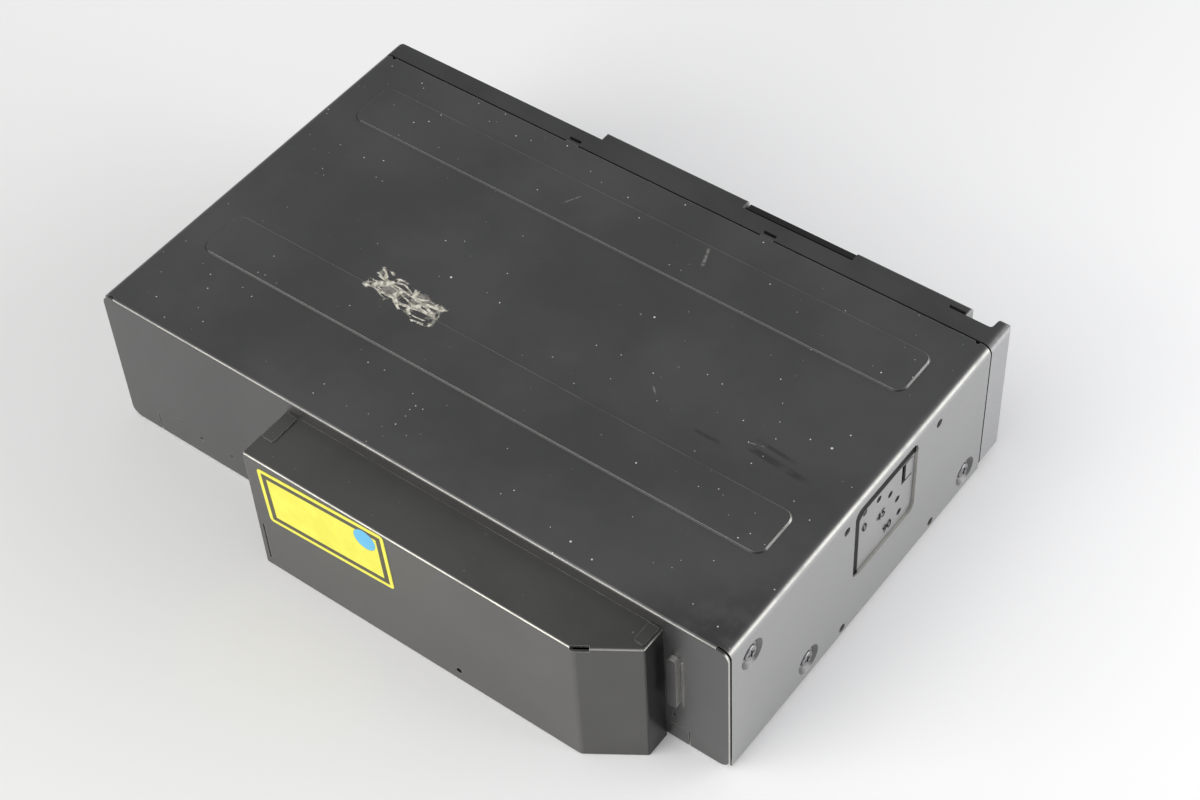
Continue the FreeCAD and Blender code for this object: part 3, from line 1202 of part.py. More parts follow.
# ---------------------------------------------------------------- lift
def lift_deck():
    """Lift deck: ring under the player, rear shelf, bushes, traverse pins and clamp bridge."""
    low = deck_z - DECK_DROP
    shelf = deck_z - SHELF_DROP
    web_y = traverse_back + DECK_WEB_GAP
    ring = box(deck_left, deck_right, deck_front, web_y + DECK_SHEET, low, low + DECK_SHEET)
    half = GUIDE_SPACING / 2 + DECK_WINDOW
    inner = box(spindle_x - half, spindle_x + half, disc_y - TRAVERSE_FRONT + DECK_FRONT_BAR, web_y - 1.0,
                low - 1, low + 2)
    web = box(deck_left, deck_right, web_y, web_y + DECK_SHEET, low, shelf + DECK_SHEET)
    bar_front = puller_front()
    back = lead_screw_y + LEAD_SCREW_RADIUS + BUSH_WALL + 0.7
    rear = box(left_screw_x - SHELF_PAST_SCREW, deck_right, bar_front, back, shelf, shelf + DECK_SHEET)
    room = TRAVERSE_REACH + 0.6
    bay = box(spindle_x - room, spindle_x + room, bar_front - 1, web_y, shelf - 1, shelf + 2)
    side = box(deck_right - DECK_SHEET, deck_right, deck_front, web_y + 1, low, deck_z - TRAY_BELOW - 2.0)
    deck = join(cut(ring, inner), web, cut(rear, bay), side)
    bushes = [upright(LEAD_SCREW_RADIUS + POST_PLAY + BUSH_WALL, x, lead_screw_y, shelf, deck_z + BUSH_ABOVE)
              for x in (left_screw_x, right_screw_x)]
    bushes.append(upright(LEAD_SCREW_RADIUS + POST_PLAY + BUSH_WALL, right_screw_x, post_y, low,
                          deck_z + BUSH_ABOVE))
    deck = join(deck, *bushes)
    columns = ((left_screw_x, lead_screw_y), (right_screw_x, lead_screw_y), (right_screw_x, post_y))
    bores = [upright(LEAD_SCREW_RADIUS + POST_PLAY, x, y, low - 1, deck_z + BUSH_ABOVE + 1)
             for x, y in columns]
    pins = [upright(PIN_RADIUS, x, y, low, deck_z - TRAY_BELOW - 0.8) for x, y in traverse_pins()]
    gear_x, gear_y = loading_gear_place()
    axle = upright(SHAFT_RADIUS, gear_x, gear_y, shelf, deck_z + GEAR_WIDTH / 2 + 0.6)
    return cut(join(deck, *pins, *puller_guides(), clamp_bridge(), axle), *bores, *loading_motor_room())


def clamp_bridge():
    """Arm over the disc that carries the clamp, bent up from the rear shelf."""
    low = deck_z + BRIDGE_RISE
    y0 = puller_front() + 5.4
    x0 = spindle_x - BRIDGE_WIDTH / 2
    x1 = spindle_x + BRIDGE_WIDTH / 2
    stem = box(x0, x1, y0, y0 + BRIDGE_SHEET, deck_z - SHELF_DROP, low + BRIDGE_SHEET)
    arm = box(x0, x1, disc_y, y0 + BRIDGE_SHEET, low, low + BRIDGE_SHEET)
    nose = upright(BRIDGE_WIDTH / 2, spindle_x, disc_y, low, low + BRIDGE_SHEET)
    eye = upright(puck_neck() + 0.08, spindle_x, disc_y, low - 1, low + BRIDGE_SHEET + 1)
    window = rounded_box("z", x0 + 6, x1 - 6, disc_y + 18, y0 - 6, 3, low - 1, low + 3)
    return cut(join(stem, arm, nose), eye, window)


def puck_neck():
    return PUCK_RADIUS / 2.6


def clamp_puck():
    """Clamp that hangs in the bridge and turns with the disc."""
    low = deck_z + DISC_RAISE + DISC_THICKNESS / 2 + 0.3
    body = upright(PUCK_RADIUS, spindle_x, disc_y, low, low + PUCK_HEIGHT)
    high = deck_z + BRIDGE_RISE + BRIDGE_SHEET + 0.2
    neck = upright(puck_neck(), spindle_x, disc_y, low, high + 0.2)
    cap = upright(puck_neck() + 1.8, spindle_x, disc_y, high, high + 0.9)
    hollow = upright(HUB_RADIUS + 0.5, spindle_x, disc_y, low - 1, low + 1.1)
    return cut(join(body, neck, cap), hollow)


def puller_front():
    """Front face of the puller bar, just behind the magazine."""
    return magazine_back + 0.6


def rack_pitch_y():
    return puller_front() + 2.2


def loading_gear_place():
    return left_screw_x + 16.0, rack_pitch_y() + MODULE * LOADING_GEAR_TEETH / 2


def loading_motor_place():
    return pinion_place(LOADING_PINION_TEETH, LOADING_GEAR_TEETH, *loading_gear_place(), 0.0)


def puller_guides():
    """Forks on the rear shelf that guide the puller bar from behind and from above."""
    guides = []
    bar = GEAR_WIDTH / 2 + 0.2
    for x in (26.0, 90.0):
        y0 = rack_pitch_y() + MODULE + 0.4
        stem = box(x, x + 7, y0, y0 + 1.6, deck_z - SHELF_DROP, deck_z + bar + 1.2)
        roof = box(x, x + 7, puller_front(), y0 + 0.2, deck_z + bar + 0.2, deck_z + bar + 1.2)
        shoe = box(x, x + 7, puller_front(), y0 + 0.2, deck_z - bar - 1.2, deck_z - bar - 0.2)
        guides += [stem, roof, shoe]
    return guides


def tray_puller():
    """Toothed bar that draws a tray out of the magazine by the notch in its edge."""
    bar = GEAR_WIDTH / 2 + 0.2
    y0 = puller_front()
    root = rack_pitch_y() - MODULE * 1.2
    gear_x, _ = loading_gear_place()
    pitch = math.pi * MODULE
    ahead = 3
    count = int(tray_travel / pitch) + 2 * ahead + 1
    half = (pitch / 2 - TOOTH_BACKLASH) / 2
    slope = math.tan(math.radians(20))
    outline = [(gear_x + (ahead + 0.7) * pitch, y0, 0), (gear_x + (ahead + 0.7) * pitch, root, 0)]
    for tooth in range(count):
        x = gear_x + (ahead - tooth) * pitch
        wide = half + MODULE * 1.2 * slope
        narrow = half - MODULE * 0.9 * slope
        tip = rack_pitch_y() + MODULE * 0.9
        outline += [(x + wide, root, 0), (x + narrow, tip, 0), (x - narrow, tip, 0), (x - wide, root, 0)]
    end = gear_x + (ahead - count + 0.3) * pitch
    outline += [(end, root, 0), (end, y0, 0)]
    rack = rounded_prism("z", outline, deck_z - bar, deck_z + bar)
    edge = disc_y + tray_radius
    hook = box(hook_x() - 1.4, hook_x() + 1.4, edge - 4.5, y0 + 0.5, deck_z - bar, deck_z + TRAY_ABOVE)
    return join(rack, hook)


def loading_gear():
    x, y = loading_gear_place()
    half = GEAR_WIDTH / 2
    turn = -math.pi / 2 + math.pi / LOADING_GEAR_TEETH
    wheel = spur_gear(LOADING_GEAR_TEETH, turn, x, y, deck_z - half, deck_z + half, SHAFT_RADIUS + SHAFT_PLAY)
    hub = cut(upright(3.0, x, y, deck_z - SHELF_DROP + DECK_SHEET + 0.2, deck_z - half + 0.1),
              upright(SHAFT_RADIUS + SHAFT_PLAY, x, y, deck_z - SHELF_DROP, deck_z))
    return join(wheel, hub)


def loading_pinion():
    x, y = loading_motor_place()
    half = GEAR_WIDTH / 2
    turn = mesh_turn(LOADING_GEAR_TEETH, -math.pi / 2 + math.pi / LOADING_GEAR_TEETH,
                     LOADING_PINION_TEETH, 0.0)
    return spur_gear(LOADING_PINION_TEETH, turn, x, y, deck_z - half, deck_z + half,
                     SHAFT_RADIUS + SHAFT_PLAY)


def mesh_turn(gear_teeth, gear_turn, pinion_teeth, direction):
    """Phase of a pinion so that its gap meets a tooth of the gear on the line of centres."""
    angle = math.radians(direction)
    pitch = 2 * math.pi / gear_teeth
    off = (angle - gear_turn) % pitch
    shift = off * gear_teeth / pinion_teeth
    return angle + math.pi + math.pi / pinion_teeth + shift


def loading_motor_room():
    x, y = loading_motor_place()
    return (upright(LOADING_MOTOR_RADIUS + 0.2, x, y, deck_z - SHELF_DROP - 1,
                    deck_z - GEAR_WIDTH / 2 - 1.8),)


def loading_motor():
    """Flat motor set into the rear shelf, with its shaft upwards."""
    x, y = loading_motor_place()
    low = deck_z - SHELF_DROP
    high = deck_z - GEAR_WIDTH / 2 - 1.8
    body = upright(LOADING_MOTOR_RADIUS, x, y, low, high)
    rim = [edge for edge in body.Edges if edge.BoundBox.ZMin > high - 1e-6]
    body = body.makeFillet(0.5, rim)
    flange = upright(LOADING_MOTOR_RADIUS + 0.7, x, y, low + DECK_SHEET, low + DECK_SHEET + 0.6)
    shaft = upright(SHAFT_RADIUS, x, y, low, deck_z + GEAR_WIDTH / 2 + 0.5)
    return join(body, flange, shaft)


def lift_screw(x, geared):
    """Lead screw with its belt pulley, and on the driven one its gear."""
    low = gear_floor()
    belt = belt_floor()
    top = bracket_z() - 0.2
    screw = threaded_rod(LEAD_SCREW_RADIUS, x, lead_screw_y, belt + BELT_WIDTH, top, LEAD_SCREW_PITCH, 0.4)
    axle = upright(SHAFT_RADIUS * 1.5, x, lead_screw_y, FRAME_HEIGHT, bracket_z() + FRAME_SHEET)
    core = upright(LEAD_SCREW_RADIUS, x, lead_screw_y, low, belt + BELT_WIDTH + 0.5)
    pulley = upright(PULLEY_RADIUS, x, lead_screw_y, belt - 0.2, belt + BELT_WIDTH + 0.2)
    screw = join(screw, axle, core, pulley)
    if geared:
        turn = math.radians(LIFT_MOTOR_SIDE)
        wheel = spur_gear(LIFT_GEAR_TEETH, turn, x, lead_screw_y, low, low + GEAR_WIDTH,
                          LEAD_SCREW_RADIUS - 0.5)
        screw = join(screw, wheel)
    return screw


def belt_floor():
    return gear_floor() + GEAR_WIDTH + 0.5


def lift_belt():
    """Belt that ties the two lead screws together."""
    inner = PULLEY_RADIUS + 0.06
    low = belt_floor()

    def loop(radius, z0, z1):
        y = lead_screw_y
        return join(box(left_screw_x, right_screw_x, y - radius, y + radius, z0, z1),
                    upright(radius, left_screw_x, y, z0, z1), upright(radius, right_screw_x, y, z0, z1))

    return cut(loop(inner + BELT_SHEET, low, low + BELT_WIDTH), loop(inner, low - 1, low + BELT_WIDTH + 1))


def lift_pinion():
    x, y = lift_motor_place()
    turn = mesh_turn(LIFT_GEAR_TEETH, math.radians(LIFT_MOTOR_SIDE), LIFT_PINION_TEETH, LIFT_MOTOR_SIDE)
    low = gear_floor()
    return spur_gear(LIFT_PINION_TEETH, turn, x, y, low, low + GEAR_WIDTH, SHAFT_RADIUS + SHAFT_PLAY)


def lift_motor():
    """Upright motor that drives the lead screws, its shaft downwards."""
    x, y = lift_motor_place()
    low = motor_floor()
    body = upright(LIFT_MOTOR_RADIUS, x, y, low, low + LIFT_MOTOR_LENGTH)
    rim = [edge for edge in body.Edges if edge.BoundBox.ZMin > low + LIFT_MOTOR_LENGTH - 1e-6]
    body = body.makeFillet(1.0, rim)
    cap = upright(3.0, x, y, low + LIFT_MOTOR_LENGTH - 0.1, low + LIFT_MOTOR_LENGTH + 1.2)
    shaft = upright(SHAFT_RADIUS, x, y, gear_floor(), low + 1)
    return join(body, cap, shaft)


# ---------------------------------------------------------------- traverse
def traverse_pins():
    x = TRAVERSE_REACH - 3.4
    ys = (disc_y - TRAVERSE_FRONT + 3.4, traverse_back - 3.4)
    return [(spindle_x + side * x, y) for side in (-1, 1) for y in ys]


def sled_range():
    """Room the sled needs along Y, in front of and behind its travel."""
    lens = disc_y + SLED_INNER
    return lens - SLED_AHEAD, lens + sled_travel + SLED_BEHIND


def traverse():
    """Plate with the spindle mount, the guide brackets and holes for the four pins."""
    low = deck_z - TRAVERSE_DROP
    high = low + DECK_SHEET
    plate = rounded_box("z", spindle_x - TRAVERSE_REACH, spindle_x + TRAVERSE_REACH, disc_y - TRAVERSE_FRONT,
                        traverse_back, 3.0, low, high)
    start, end = sled_range()
    half = GUIDE_SPACING / 2
    inside = half - GUIDE_LEDGE
    window = box(spindle_x - inside, spindle_x + inside, start - 0.6, end + 0.6, low - 1, high + 1)
    plate = cut(plate, window)
    blocks = []
    for side in (-1, 1):
        x = spindle_x + side * half
        z = deck_z - GUIDE_DROP
        for y0, y1 in ((start - 3.0, start - 0.6), (end + 0.6, end + 2.4)):
            blocks.append(box(x - 2.6, x + 2.6, y0, y1, z - 2.4, low + 0.2))
    plate = join(plate, *blocks)
    holes = [upright(PIN_RADIUS + PIN_PLAY + GROMMET_WALL, x, y, low - 1, high + 1)
             for x, y in traverse_pins()]
    shafts = [rod(GUIDE_RADIUS, (spindle_x + side * half, start - GUIDE_PAST_SLED, deck_z - GUIDE_DROP),
                  (0, 1, 0), end - start + 2 * GUIDE_PAST_SLED) for side in (-1, 1)]
    motor = upright(SPINDLE_MOTOR_RADIUS, spindle_x, disc_y, low - 1, high + 1)
    return cut(plate, motor, *holes, *shafts)


def traverse_grommets():
    """Rubber grommets that ride on the four pins."""
    rings = []
    low = deck_z - TRAVERSE_DROP
    for x, y in traverse_pins():
        outer = upright(PIN_RADIUS + PIN_PLAY + GROMMET_WALL, x, y, low - 0.4, low + DECK_SHEET + 0.4)
        rings.append(cut(outer, upright(PIN_RADIUS + PIN_PLAY, x, y, low - 1, low + 3)))
    return group(rings)


def guide_shafts():
    start, end = sled_range()
    half = GUIDE_SPACING / 2
    return group(rod(GUIDE_RADIUS, (spindle_x + side * half, start - 3.0, deck_z - GUIDE_DROP), (0, 1, 0),
                     end - start + 5.4) for side in (-1, 1))


def spindle_motor():
    """Flat disc motor under the traverse."""
    low = deck_z - TRAVERSE_DROP
    body = upright(SPINDLE_MOTOR_RADIUS, spindle_x, disc_y, low - SPINDLE_MOTOR_DEPTH, low + DECK_SHEET)
    flange = upright(SPINDLE_FLANGE_RADIUS, spindle_x, disc_y, low - SPINDLE_FLANGE_SHEET, low)
    shaft = upright(SHAFT_RADIUS, spindle_x, disc_y, low, platter_top() + HUB_HEIGHT - 0.4)
    return join(body, flange, shaft)


def platter_top():
    """Top of the platter while the traverse is down."""
    return deck_z + DISC_RAISE - DISC_THICKNESS / 2 - PLAY_RISE


def turntable():
    """Platter with its centring hub."""
    top = platter_top()
    plate = upright(PLATTER_RADIUS, spindle_x, disc_y, top - PLATTER_THICKNESS, top)
    boss_low = deck_z - TRAVERSE_DROP + DECK_SHEET + BOSS_PLAY
    boss = upright(BOSS_RADIUS, spindle_x, disc_y, boss_low, top)
    hub = Part.makeCone(HUB_RADIUS, HUB_RADIUS - 1.4, HUB_HEIGHT, Vector(spindle_x, disc_y, top))
    bore = upright(SHAFT_RADIUS + SHAFT_PLAY, spindle_x, disc_y, boss_low - 1, top + HUB_HEIGHT + 1)
    return cut(join(plate, boss, hub), bore)


def pickup_sled():
    """Optical pickup with its lens, riding on the two guide shafts."""
    lens_y = disc_y + SLED_INNER
    half = GUIDE_SPACING / 2
    z = deck_z - GUIDE_DROP
    y0 = lens_y - SLED_AHEAD
    y1 = lens_y + SLED_BEHIND
    narrow = half - SLED_NECK
    wide = half + SLED_ARM
    body = box(spindle_x - narrow, spindle_x + narrow, y0, y1, z - SLED_BELOW, z + SLED_ABOVE)
    arms = box(spindle_x - wide, spindle_x + wide, y0 + 1, y1 - 1, z - SLED_BELOW - 0.2, z + SLED_ARM / 2)
    dome_top = z + SLED_ABOVE + SLED_DOME
    dome = upright(LENS_RADIUS + 2.0, spindle_x, lens_y, z + SLED_ABOVE - 0.2, dome_top)
    ball = LENS_RADIUS * 1.3
    lens = Part.makeSphere(ball, Vector(spindle_x, lens_y, dome_top + LENS_RISE - ball))
    lens = lens.common(box(spindle_x - ball, spindle_x + ball, y0, y1, z + SLED_ABOVE - 0.4, dome_top + ball))
    bores = [rod(GUIDE_RADIUS + GUIDE_PLAY, (spindle_x + side * half, y0 - 1, z), (0, 1, 0), y1 - y0 + 2)
             for side in (-1, 1)]
    return cut(join(body, arms, dome, lens), *bores)


# ---------------------------------------------------------------- eject slider and button
def eject_slider():
    """Flat slider along the left wall whose finger pushes the magazine out."""
    x0 = FRAME_SHEET - frame_side + SLIDER_PLAY
    x1 = x0 + SLIDER_THICKNESS
    z0 = FRAME_HEIGHT + FRAME_SHEET + SLIDER_PLAY / 2
    y0 = magazine_back + SLIDER_REST_GAP
    y1 = y0 + SLIDER_FINGER
    top = magazine_bottom + SLIDER_FINGER_TOP
    bar = box(x0, x1, frame_front + SLIDER_SETBACK, y1, z0, z0 + SLIDER_HEIGHT)
    stem = box(x0, x1, y0, y1, z0, top)
    finger = box(x0, magazine_left + SLIDER_REACH, y0, y1, top - SLIDER_FINGER_HEIGHT, top)
    return join(bar, stem, finger)


def sub_parts():
    """Every piece under its name."""
    parts = {
        "top_cover": top_cover(),
        "base_chassis": base_chassis(),
        "front_bezel": front_bezel(),
        "slot_surround": slot_surround(),
        "rear_housing": rear_housing(),
        "rating_label": rating_label(),
        "cover_screws": cover_screws(),
        "selector_plate_left": selector_plate(-1),
        "selector_plate_right": selector_plate(1),
        "selector_lever_left": selector_lever(-1),
        "selector_lever_right": selector_lever(1),
        "connector_socket": connector_socket(),
        "rear_board": rear_board(),
        "front_board": front_board(),
        "eject_button": eject_button(),
        "eject_slider": eject_slider(),
        "mechanism_frame": mechanism_frame(),
        "frame_dampers": frame_dampers(),
        "magazine_cradle": magazine_cradle(),
        "main_board": main_board(),
        "magazine_case": magazine_case(),
        "lift_deck": lift_deck(),
        "lift_screw_left": lift_screw(left_screw_x, True),
        "lift_screw_right": lift_screw(right_screw_x, False),
        "lift_belt": lift_belt(),
        "lift_motor": lift_motor(),
        "lift_pinion": lift_pinion(),
        "clamp_puck": clamp_puck(),
        "tray_puller": tray_puller(),
        "loading_gear": loading_gear(),
        "loading_pinion": loading_pinion(),
        "loading_motor": loading_motor(),
        "traverse": traverse(),
        "traverse_grommets": traverse_grommets(),
        "guide_shafts": guide_shafts(),
        "spindle_motor": spindle_motor(),
        "turntable": turntable(),
        "pickup_sled": pickup_sled(),
    }
    for index in range(DISC_COUNT):
        parts["disc_tray_%d" % (index + 1)] = disc_tray(index)
        parts["disc_%d" % (index + 1)] = disc(index)
    return parts


for part_name, part_shape in sub_parts().items():
    save(part_name, part_shape)
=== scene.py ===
"""Studio view of a car CD changer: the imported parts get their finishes, wear, label and marks."""

import json
import math

import bpy
from mathutils import Euler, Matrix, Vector


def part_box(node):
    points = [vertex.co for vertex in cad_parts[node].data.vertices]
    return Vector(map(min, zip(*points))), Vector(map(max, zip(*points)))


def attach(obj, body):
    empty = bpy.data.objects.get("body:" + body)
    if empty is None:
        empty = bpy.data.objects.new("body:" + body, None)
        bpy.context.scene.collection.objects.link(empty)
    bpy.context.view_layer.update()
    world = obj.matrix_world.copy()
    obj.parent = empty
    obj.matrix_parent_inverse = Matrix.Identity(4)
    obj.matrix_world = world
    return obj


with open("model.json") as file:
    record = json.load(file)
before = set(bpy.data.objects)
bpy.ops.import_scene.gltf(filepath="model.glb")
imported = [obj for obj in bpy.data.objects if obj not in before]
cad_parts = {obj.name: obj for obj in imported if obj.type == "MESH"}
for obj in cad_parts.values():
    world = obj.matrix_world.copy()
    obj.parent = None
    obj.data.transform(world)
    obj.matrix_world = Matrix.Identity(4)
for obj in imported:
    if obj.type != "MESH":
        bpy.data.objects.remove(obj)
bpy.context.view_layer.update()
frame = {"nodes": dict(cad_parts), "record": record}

MM = 0.001

# Camera
CAMERA_PLACE = (-0.362542, 0.404529, 0.646150)
CAMERA_TURN = (41.0497, 2.3852, -143.1207)
CAMERA_LENS = 73.412
SENSOR_WIDTH = 36.0

# Casing faces, read from the frame
_, cover_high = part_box("top_cover")
housing_low, housing_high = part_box("rear_housing")
label_low, label_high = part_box("rating_label")
plate_low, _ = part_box("selector_plate_left")
RIB_HEIGHT = 0.5 * MM
SHEET = 0.8 * MM
BEND_ZONE = 4.0 * MM        # how far the painted highlight along a bend reaches from the outer face
BEND_CLEAR = 3.0 * MM       # how far from an outer face a panel is flat again
RIBS_MIDDLE = -15.0 * MM    # y of the middle of both ribs together
RIBS_REACH = 53.0 * MM      # y reach of both ribs to each side of that
panel_z = cover_high.z - RIB_HEIGHT
rear_y = housing_low.y

# Label
LABEL_TILT = math.radians(3.3)
LABEL_WIDTH = 53.0 * MM
LABEL_HEIGHT = 25.7 * MM
LABEL_MARGIN = 1.5 * MM
LABEL_BAND = 2.0 * MM
DOT_RADIUS = 4.4 * MM
DOT_EDGE = 0.15 * MM
DOT_RIM = 0.2 * MM
DOT_ALONG = -17.8 * MM
DOT_UP = 6.2 * MM

# Paint: its grey, and how many times lighter it is painted on faces that look to either side, as
# painted light
CASE_GREY = 0.112
SIDE_PAINTED_LIGHT = 3.3
BEZEL_PAINTED_LIGHT = 4.5
# the colour of bare steel: real worn edges and scratches, and painted highlights on bends, rib flanks
# and edge rims
BARE_STEEL_AND_HIGHLIGHT = (0.62, 0.61, 0.57)
# pale dust, also the colour of the painted highlights on the rear housing's edges
DUST_AND_HIGHLIGHT = (0.80, 0.78, 0.72)

# Selector: its window in the side flange, the band of shade inside that, and its numbers
WINDOW_REAR = 1.8 * MM
WINDOW_TOP = 58.1 * MM
REAR_SHADE = 4.0 * MM
TOP_SHADE = 5.8 * MM
SHADE_CORNER = 2.4 * MM
SHADE_FADE = 0.3 * MM
ARC_Y = -5.175 * MM
ARC_Z = 30.0 * MM
NUMBER_REACH = 14.0 * MM
NUMBER_SIZE = 5.0 * MM
NUMBER_RELIEF = 0.02 * MM

# Traces on the top panel
RESIDUE_CENTRE = (42.5 * MM, 13.2 * MM)
RESIDUE_HALF = (15.4 * MM, 5.5 * MM)
RESIDUE_SLANT = 0.10
# each streak: x from and to, its y, half its width
SMEARS = (
    (-81.0 * MM, -112.0 * MM, 1.2 * MM, 1.6 * MM),
    (-86.0 * MM, -104.0 * MM, -2.2 * MM, 0.9 * MM),
    (-67.0 * MM, -80.0 * MM, 5.0 * MM, 0.9 * MM),
)
SMEAR_WAVE = 12.0 * MM
SMEAR_CORNER = (150.0 * MM, 188.0 * MM)     # y - x where the smear round the rear corner sets in
# each scratch: start and end in x and y, half its width, in millimetres
SCRATCHES = (
    ((-27.2, -62.9), (-31.0, -52.6), 0.9),
    ((-47.7, -2.7), (-50.9, 0.2), 0.45),
    ((-86.0, -0.5), (-91.5, -2.0), 0.3),
    ((22.2, -59.1), (26.6, -50.8), 0.3),
    ((-25.6, -25.8), (-27.6, -24.6), 0.5),
    ((-48.2, -14.6), (-50.6, -13.3), 0.5),
)

# Disc: the rings between which its track has a painted rainbow sheen
TRACK_START = (22 * MM, 24 * MM)
TRACK_END = (57 * MM, 59 * MM)

# Studio
FLOOR_HALF = 3.0
# the floor's glow along each axis: from, to, and its strength at either end
GLOW_ALONG_X = (-0.38, 0.12, 0.31, 0.04)
GLOW_ALONG_Y = (-0.22, 0.08, 0.12, 0.0)
# each lamp: name, place, what it is aimed at, size, radiance, colour
LAMPS = (
    ("overhead", (0.3, 0.7, 1.5), (0, 0, 0), (1.3, 1.2), 1.5, (1.0, 1.0, 1.0)),
    ("fill", (0.55, 1.15, 0.55), (0, 0, 0), (1.1, 0.8), 3.9, (1.0, 0.975, 0.93)),
    ("window", (-2.7, -1.97, 1.00), (-0.05, -0.02, 0.04), (3.6, 2.0), 3.5, (1.0, 1.0, 1.0)),
)
WORLD_COLOUR = (0.97, 0.98, 1.0, 1.0)
WORLD_STRENGTH = 0.36


# ---------------------------------------------------------------- node trees

class Finish:
    """One material and short calls that add nodes to it."""

    def __init__(self, name):
        self.material = bpy.data.materials.new(name)
        self.material.use_nodes = True
        self.tree = self.material.node_tree
        self.shader = self.tree.nodes["Principled BSDF"]
        self.place = self.add("ShaderNodeTexCoord").outputs["Object"]

    def add(self, kind):
        return self.tree.nodes.new(kind)

    def link(self, value, socket):
        """value is a socket or a constant."""
        if isinstance(value, bpy.types.NodeSocket):
            self.tree.links.new(value, socket)
        else:
            socket.default_value = value

    def set(self, **constants):
        """Constants on the shader's own sockets: set(Metallic=1.0, Coat_Weight=0.3)."""
        for name, value in constants.items():
            self.shader.inputs[name.replace("_", " ")].default_value = value

    def colour(self, value):
        self.link(value, self.shader.inputs["Base Color"])

    def roughness(self, value):
        self.link(value, self.shader.inputs["Roughness"])

    def math(self, operation, a, b=0.0):
        node = self.add("ShaderNodeMath")
        node.operation = operation
        self.link(a, node.inputs[0])
        self.link(b, node.inputs[1])
        return node.outputs[0]

    def times(self, a, b):
        return self.math("MULTIPLY", a, b)

    def plus(self, a, b):
        return self.math("ADD", a, b)

    def minus(self, a, b):
        return self.math("SUBTRACT", a, b)

    def size_of(self, value):
        return self.math("ABSOLUTE", value)

    def above(self, value, limit):
        return self.math("GREATER_THAN", value, limit)

    def below(self, value, limit):
        return self.math("LESS_THAN", value, limit)

    def either(self, a, b):
        return self.math("MAXIMUM", a, b)

    def axes(self, vector=None):
        """The three coordinates of a vector, in metres."""
        node = self.add("ShaderNodeSeparateXYZ")
        self.link(vector or self.place, node.inputs[0])
        return node.outputs

    def vector(self, x, y, z):
        node = self.add("ShaderNodeCombineXYZ")
        for value, socket in zip((x, y, z), node.inputs):
            self.link(value, socket)
        return node.outputs[0]

    def normal(self, kind="Normal"):
        """The three parts of the surface's direction; kind True Normal leaves smooth shading out."""
        return self.axes(self.add("ShaderNodeNewGeometry").outputs[kind])

    def distance(self, a, b):
        """How far the point (a, b) is from the middle."""
        return self.math("SQRT", self.plus(self.times(a, a), self.times(b, b)))

    def mapped(self, scale=(1, 1, 1), shift=(0, 0, 0)):
        """The place on the object, stretched and shifted."""
        node = self.add("ShaderNodeMapping")
        self.link(self.place, node.inputs["Vector"])
        node.inputs["Location"].default_value = shift
        node.inputs["Scale"].default_value = scale
        return node.outputs[0]

    def noise(self, size, detail=3.0, rough=0.55, vector=None):
        """Noise whose features are about size metres across."""
        node = self.add("ShaderNodeTexNoise")
        self.link(vector or self.place, node.inputs["Vector"])
        node.inputs["Scale"].default_value = 1.0 / size
        node.inputs["Detail"].default_value = detail
        node.inputs["Roughness"].default_value = rough
        return node.outputs["Fac"]

    def cells(self, size, feature="F1", vector=None):
        node = self.add("ShaderNodeTexVoronoi")
        node.feature = feature
        self.link(vector or self.place, node.inputs["Vector"])
        node.inputs["Scale"].default_value = 1.0 / size
        return node

    def band(self, value, low, high, to_low=0.0, to_high=1.0):
        """value from low to high becomes to_low to to_high, smoothly and held at the ends."""
        node = self.add("ShaderNodeMapRange")
        node.interpolation_type = "SMOOTHSTEP"
        self.link(value, node.inputs["Value"])
        self.link(low, node.inputs["From Min"])
        self.link(high, node.inputs["From Max"])
        node.inputs["To Min"].default_value = to_low
        node.inputs["To Max"].default_value = to_high
        return node.outputs["Result"]

    def mix(self, factor, a, b):
        node = self.add("ShaderNodeMix")
        node.data_type = "RGBA"
        self.link(factor, node.inputs["Factor"])
        self.link(rgba(a), node.inputs["A"])
        self.link(rgba(b), node.inputs["B"])
        return node.outputs["Result"]

    def bump(self, height, distance, strength=1.0):
        """A relief whose height runs from 0 to distance metres. Calls add up."""
        node = self.add("ShaderNodeBump")
        node.inputs["Strength"].default_value = strength
        node.inputs["Distance"].default_value = distance
        self.link(height, node.inputs["Height"])
        normal = self.shader.inputs["Normal"]
        if normal.is_linked:
            self.tree.links.new(normal.links[0].from_socket, node.inputs["Normal"])
        self.tree.links.new(node.outputs["Normal"], normal)

    def sideways(self):
        """1 on the faces towards either side, where painted light makes the paint lighter."""
        return self.band(self.size_of(self.normal()[0]), 0.72, 0.95)

    def edges(self, radius=0.3 * MM):
        """1 along every sharp edge of the shape, fading out within the radius."""
        rounded = self.add("ShaderNodeBevel")
        rounded.samples = 6
        rounded.inputs["Radius"].default_value = radius
        agree = self.add("ShaderNodeVectorMath")
        agree.operation = "DOT_PRODUCT"
        self.link(rounded.outputs["Normal"], agree.inputs[0])
        self.link(self.add("ShaderNodeNewGeometry").outputs["Normal"], agree.inputs[1])
        return self.band(agree.outputs["Value"], 0.86, 0.985, 1.0, 0.0)

    def stroke(self, start, end, width):
        """1 on a straight scratch from start to end, (x, y) in metres, across any z."""
        along = Vector(end) - Vector(start)
        x, y, _ = self.axes()
        dx = self.minus(x, start[0])
        dy = self.minus(y, start[1])
        unit = along.normalized()
        reach = self.plus(self.times(dx, unit.x), self.times(dy, unit.y))
        side = self.plus(self.times(dx, -unit.y), self.times(dy, unit.x))
        off_end = self.size_of(self.minus(reach, along.length / 2))
        on_line = self.band(self.size_of(side), 0.0, width, 1.0, 0.0)
        in_reach = self.band(off_end, along.length * 0.3, along.length * 0.5, 1.0, 0.0)
        return self.times(on_line, in_reach)

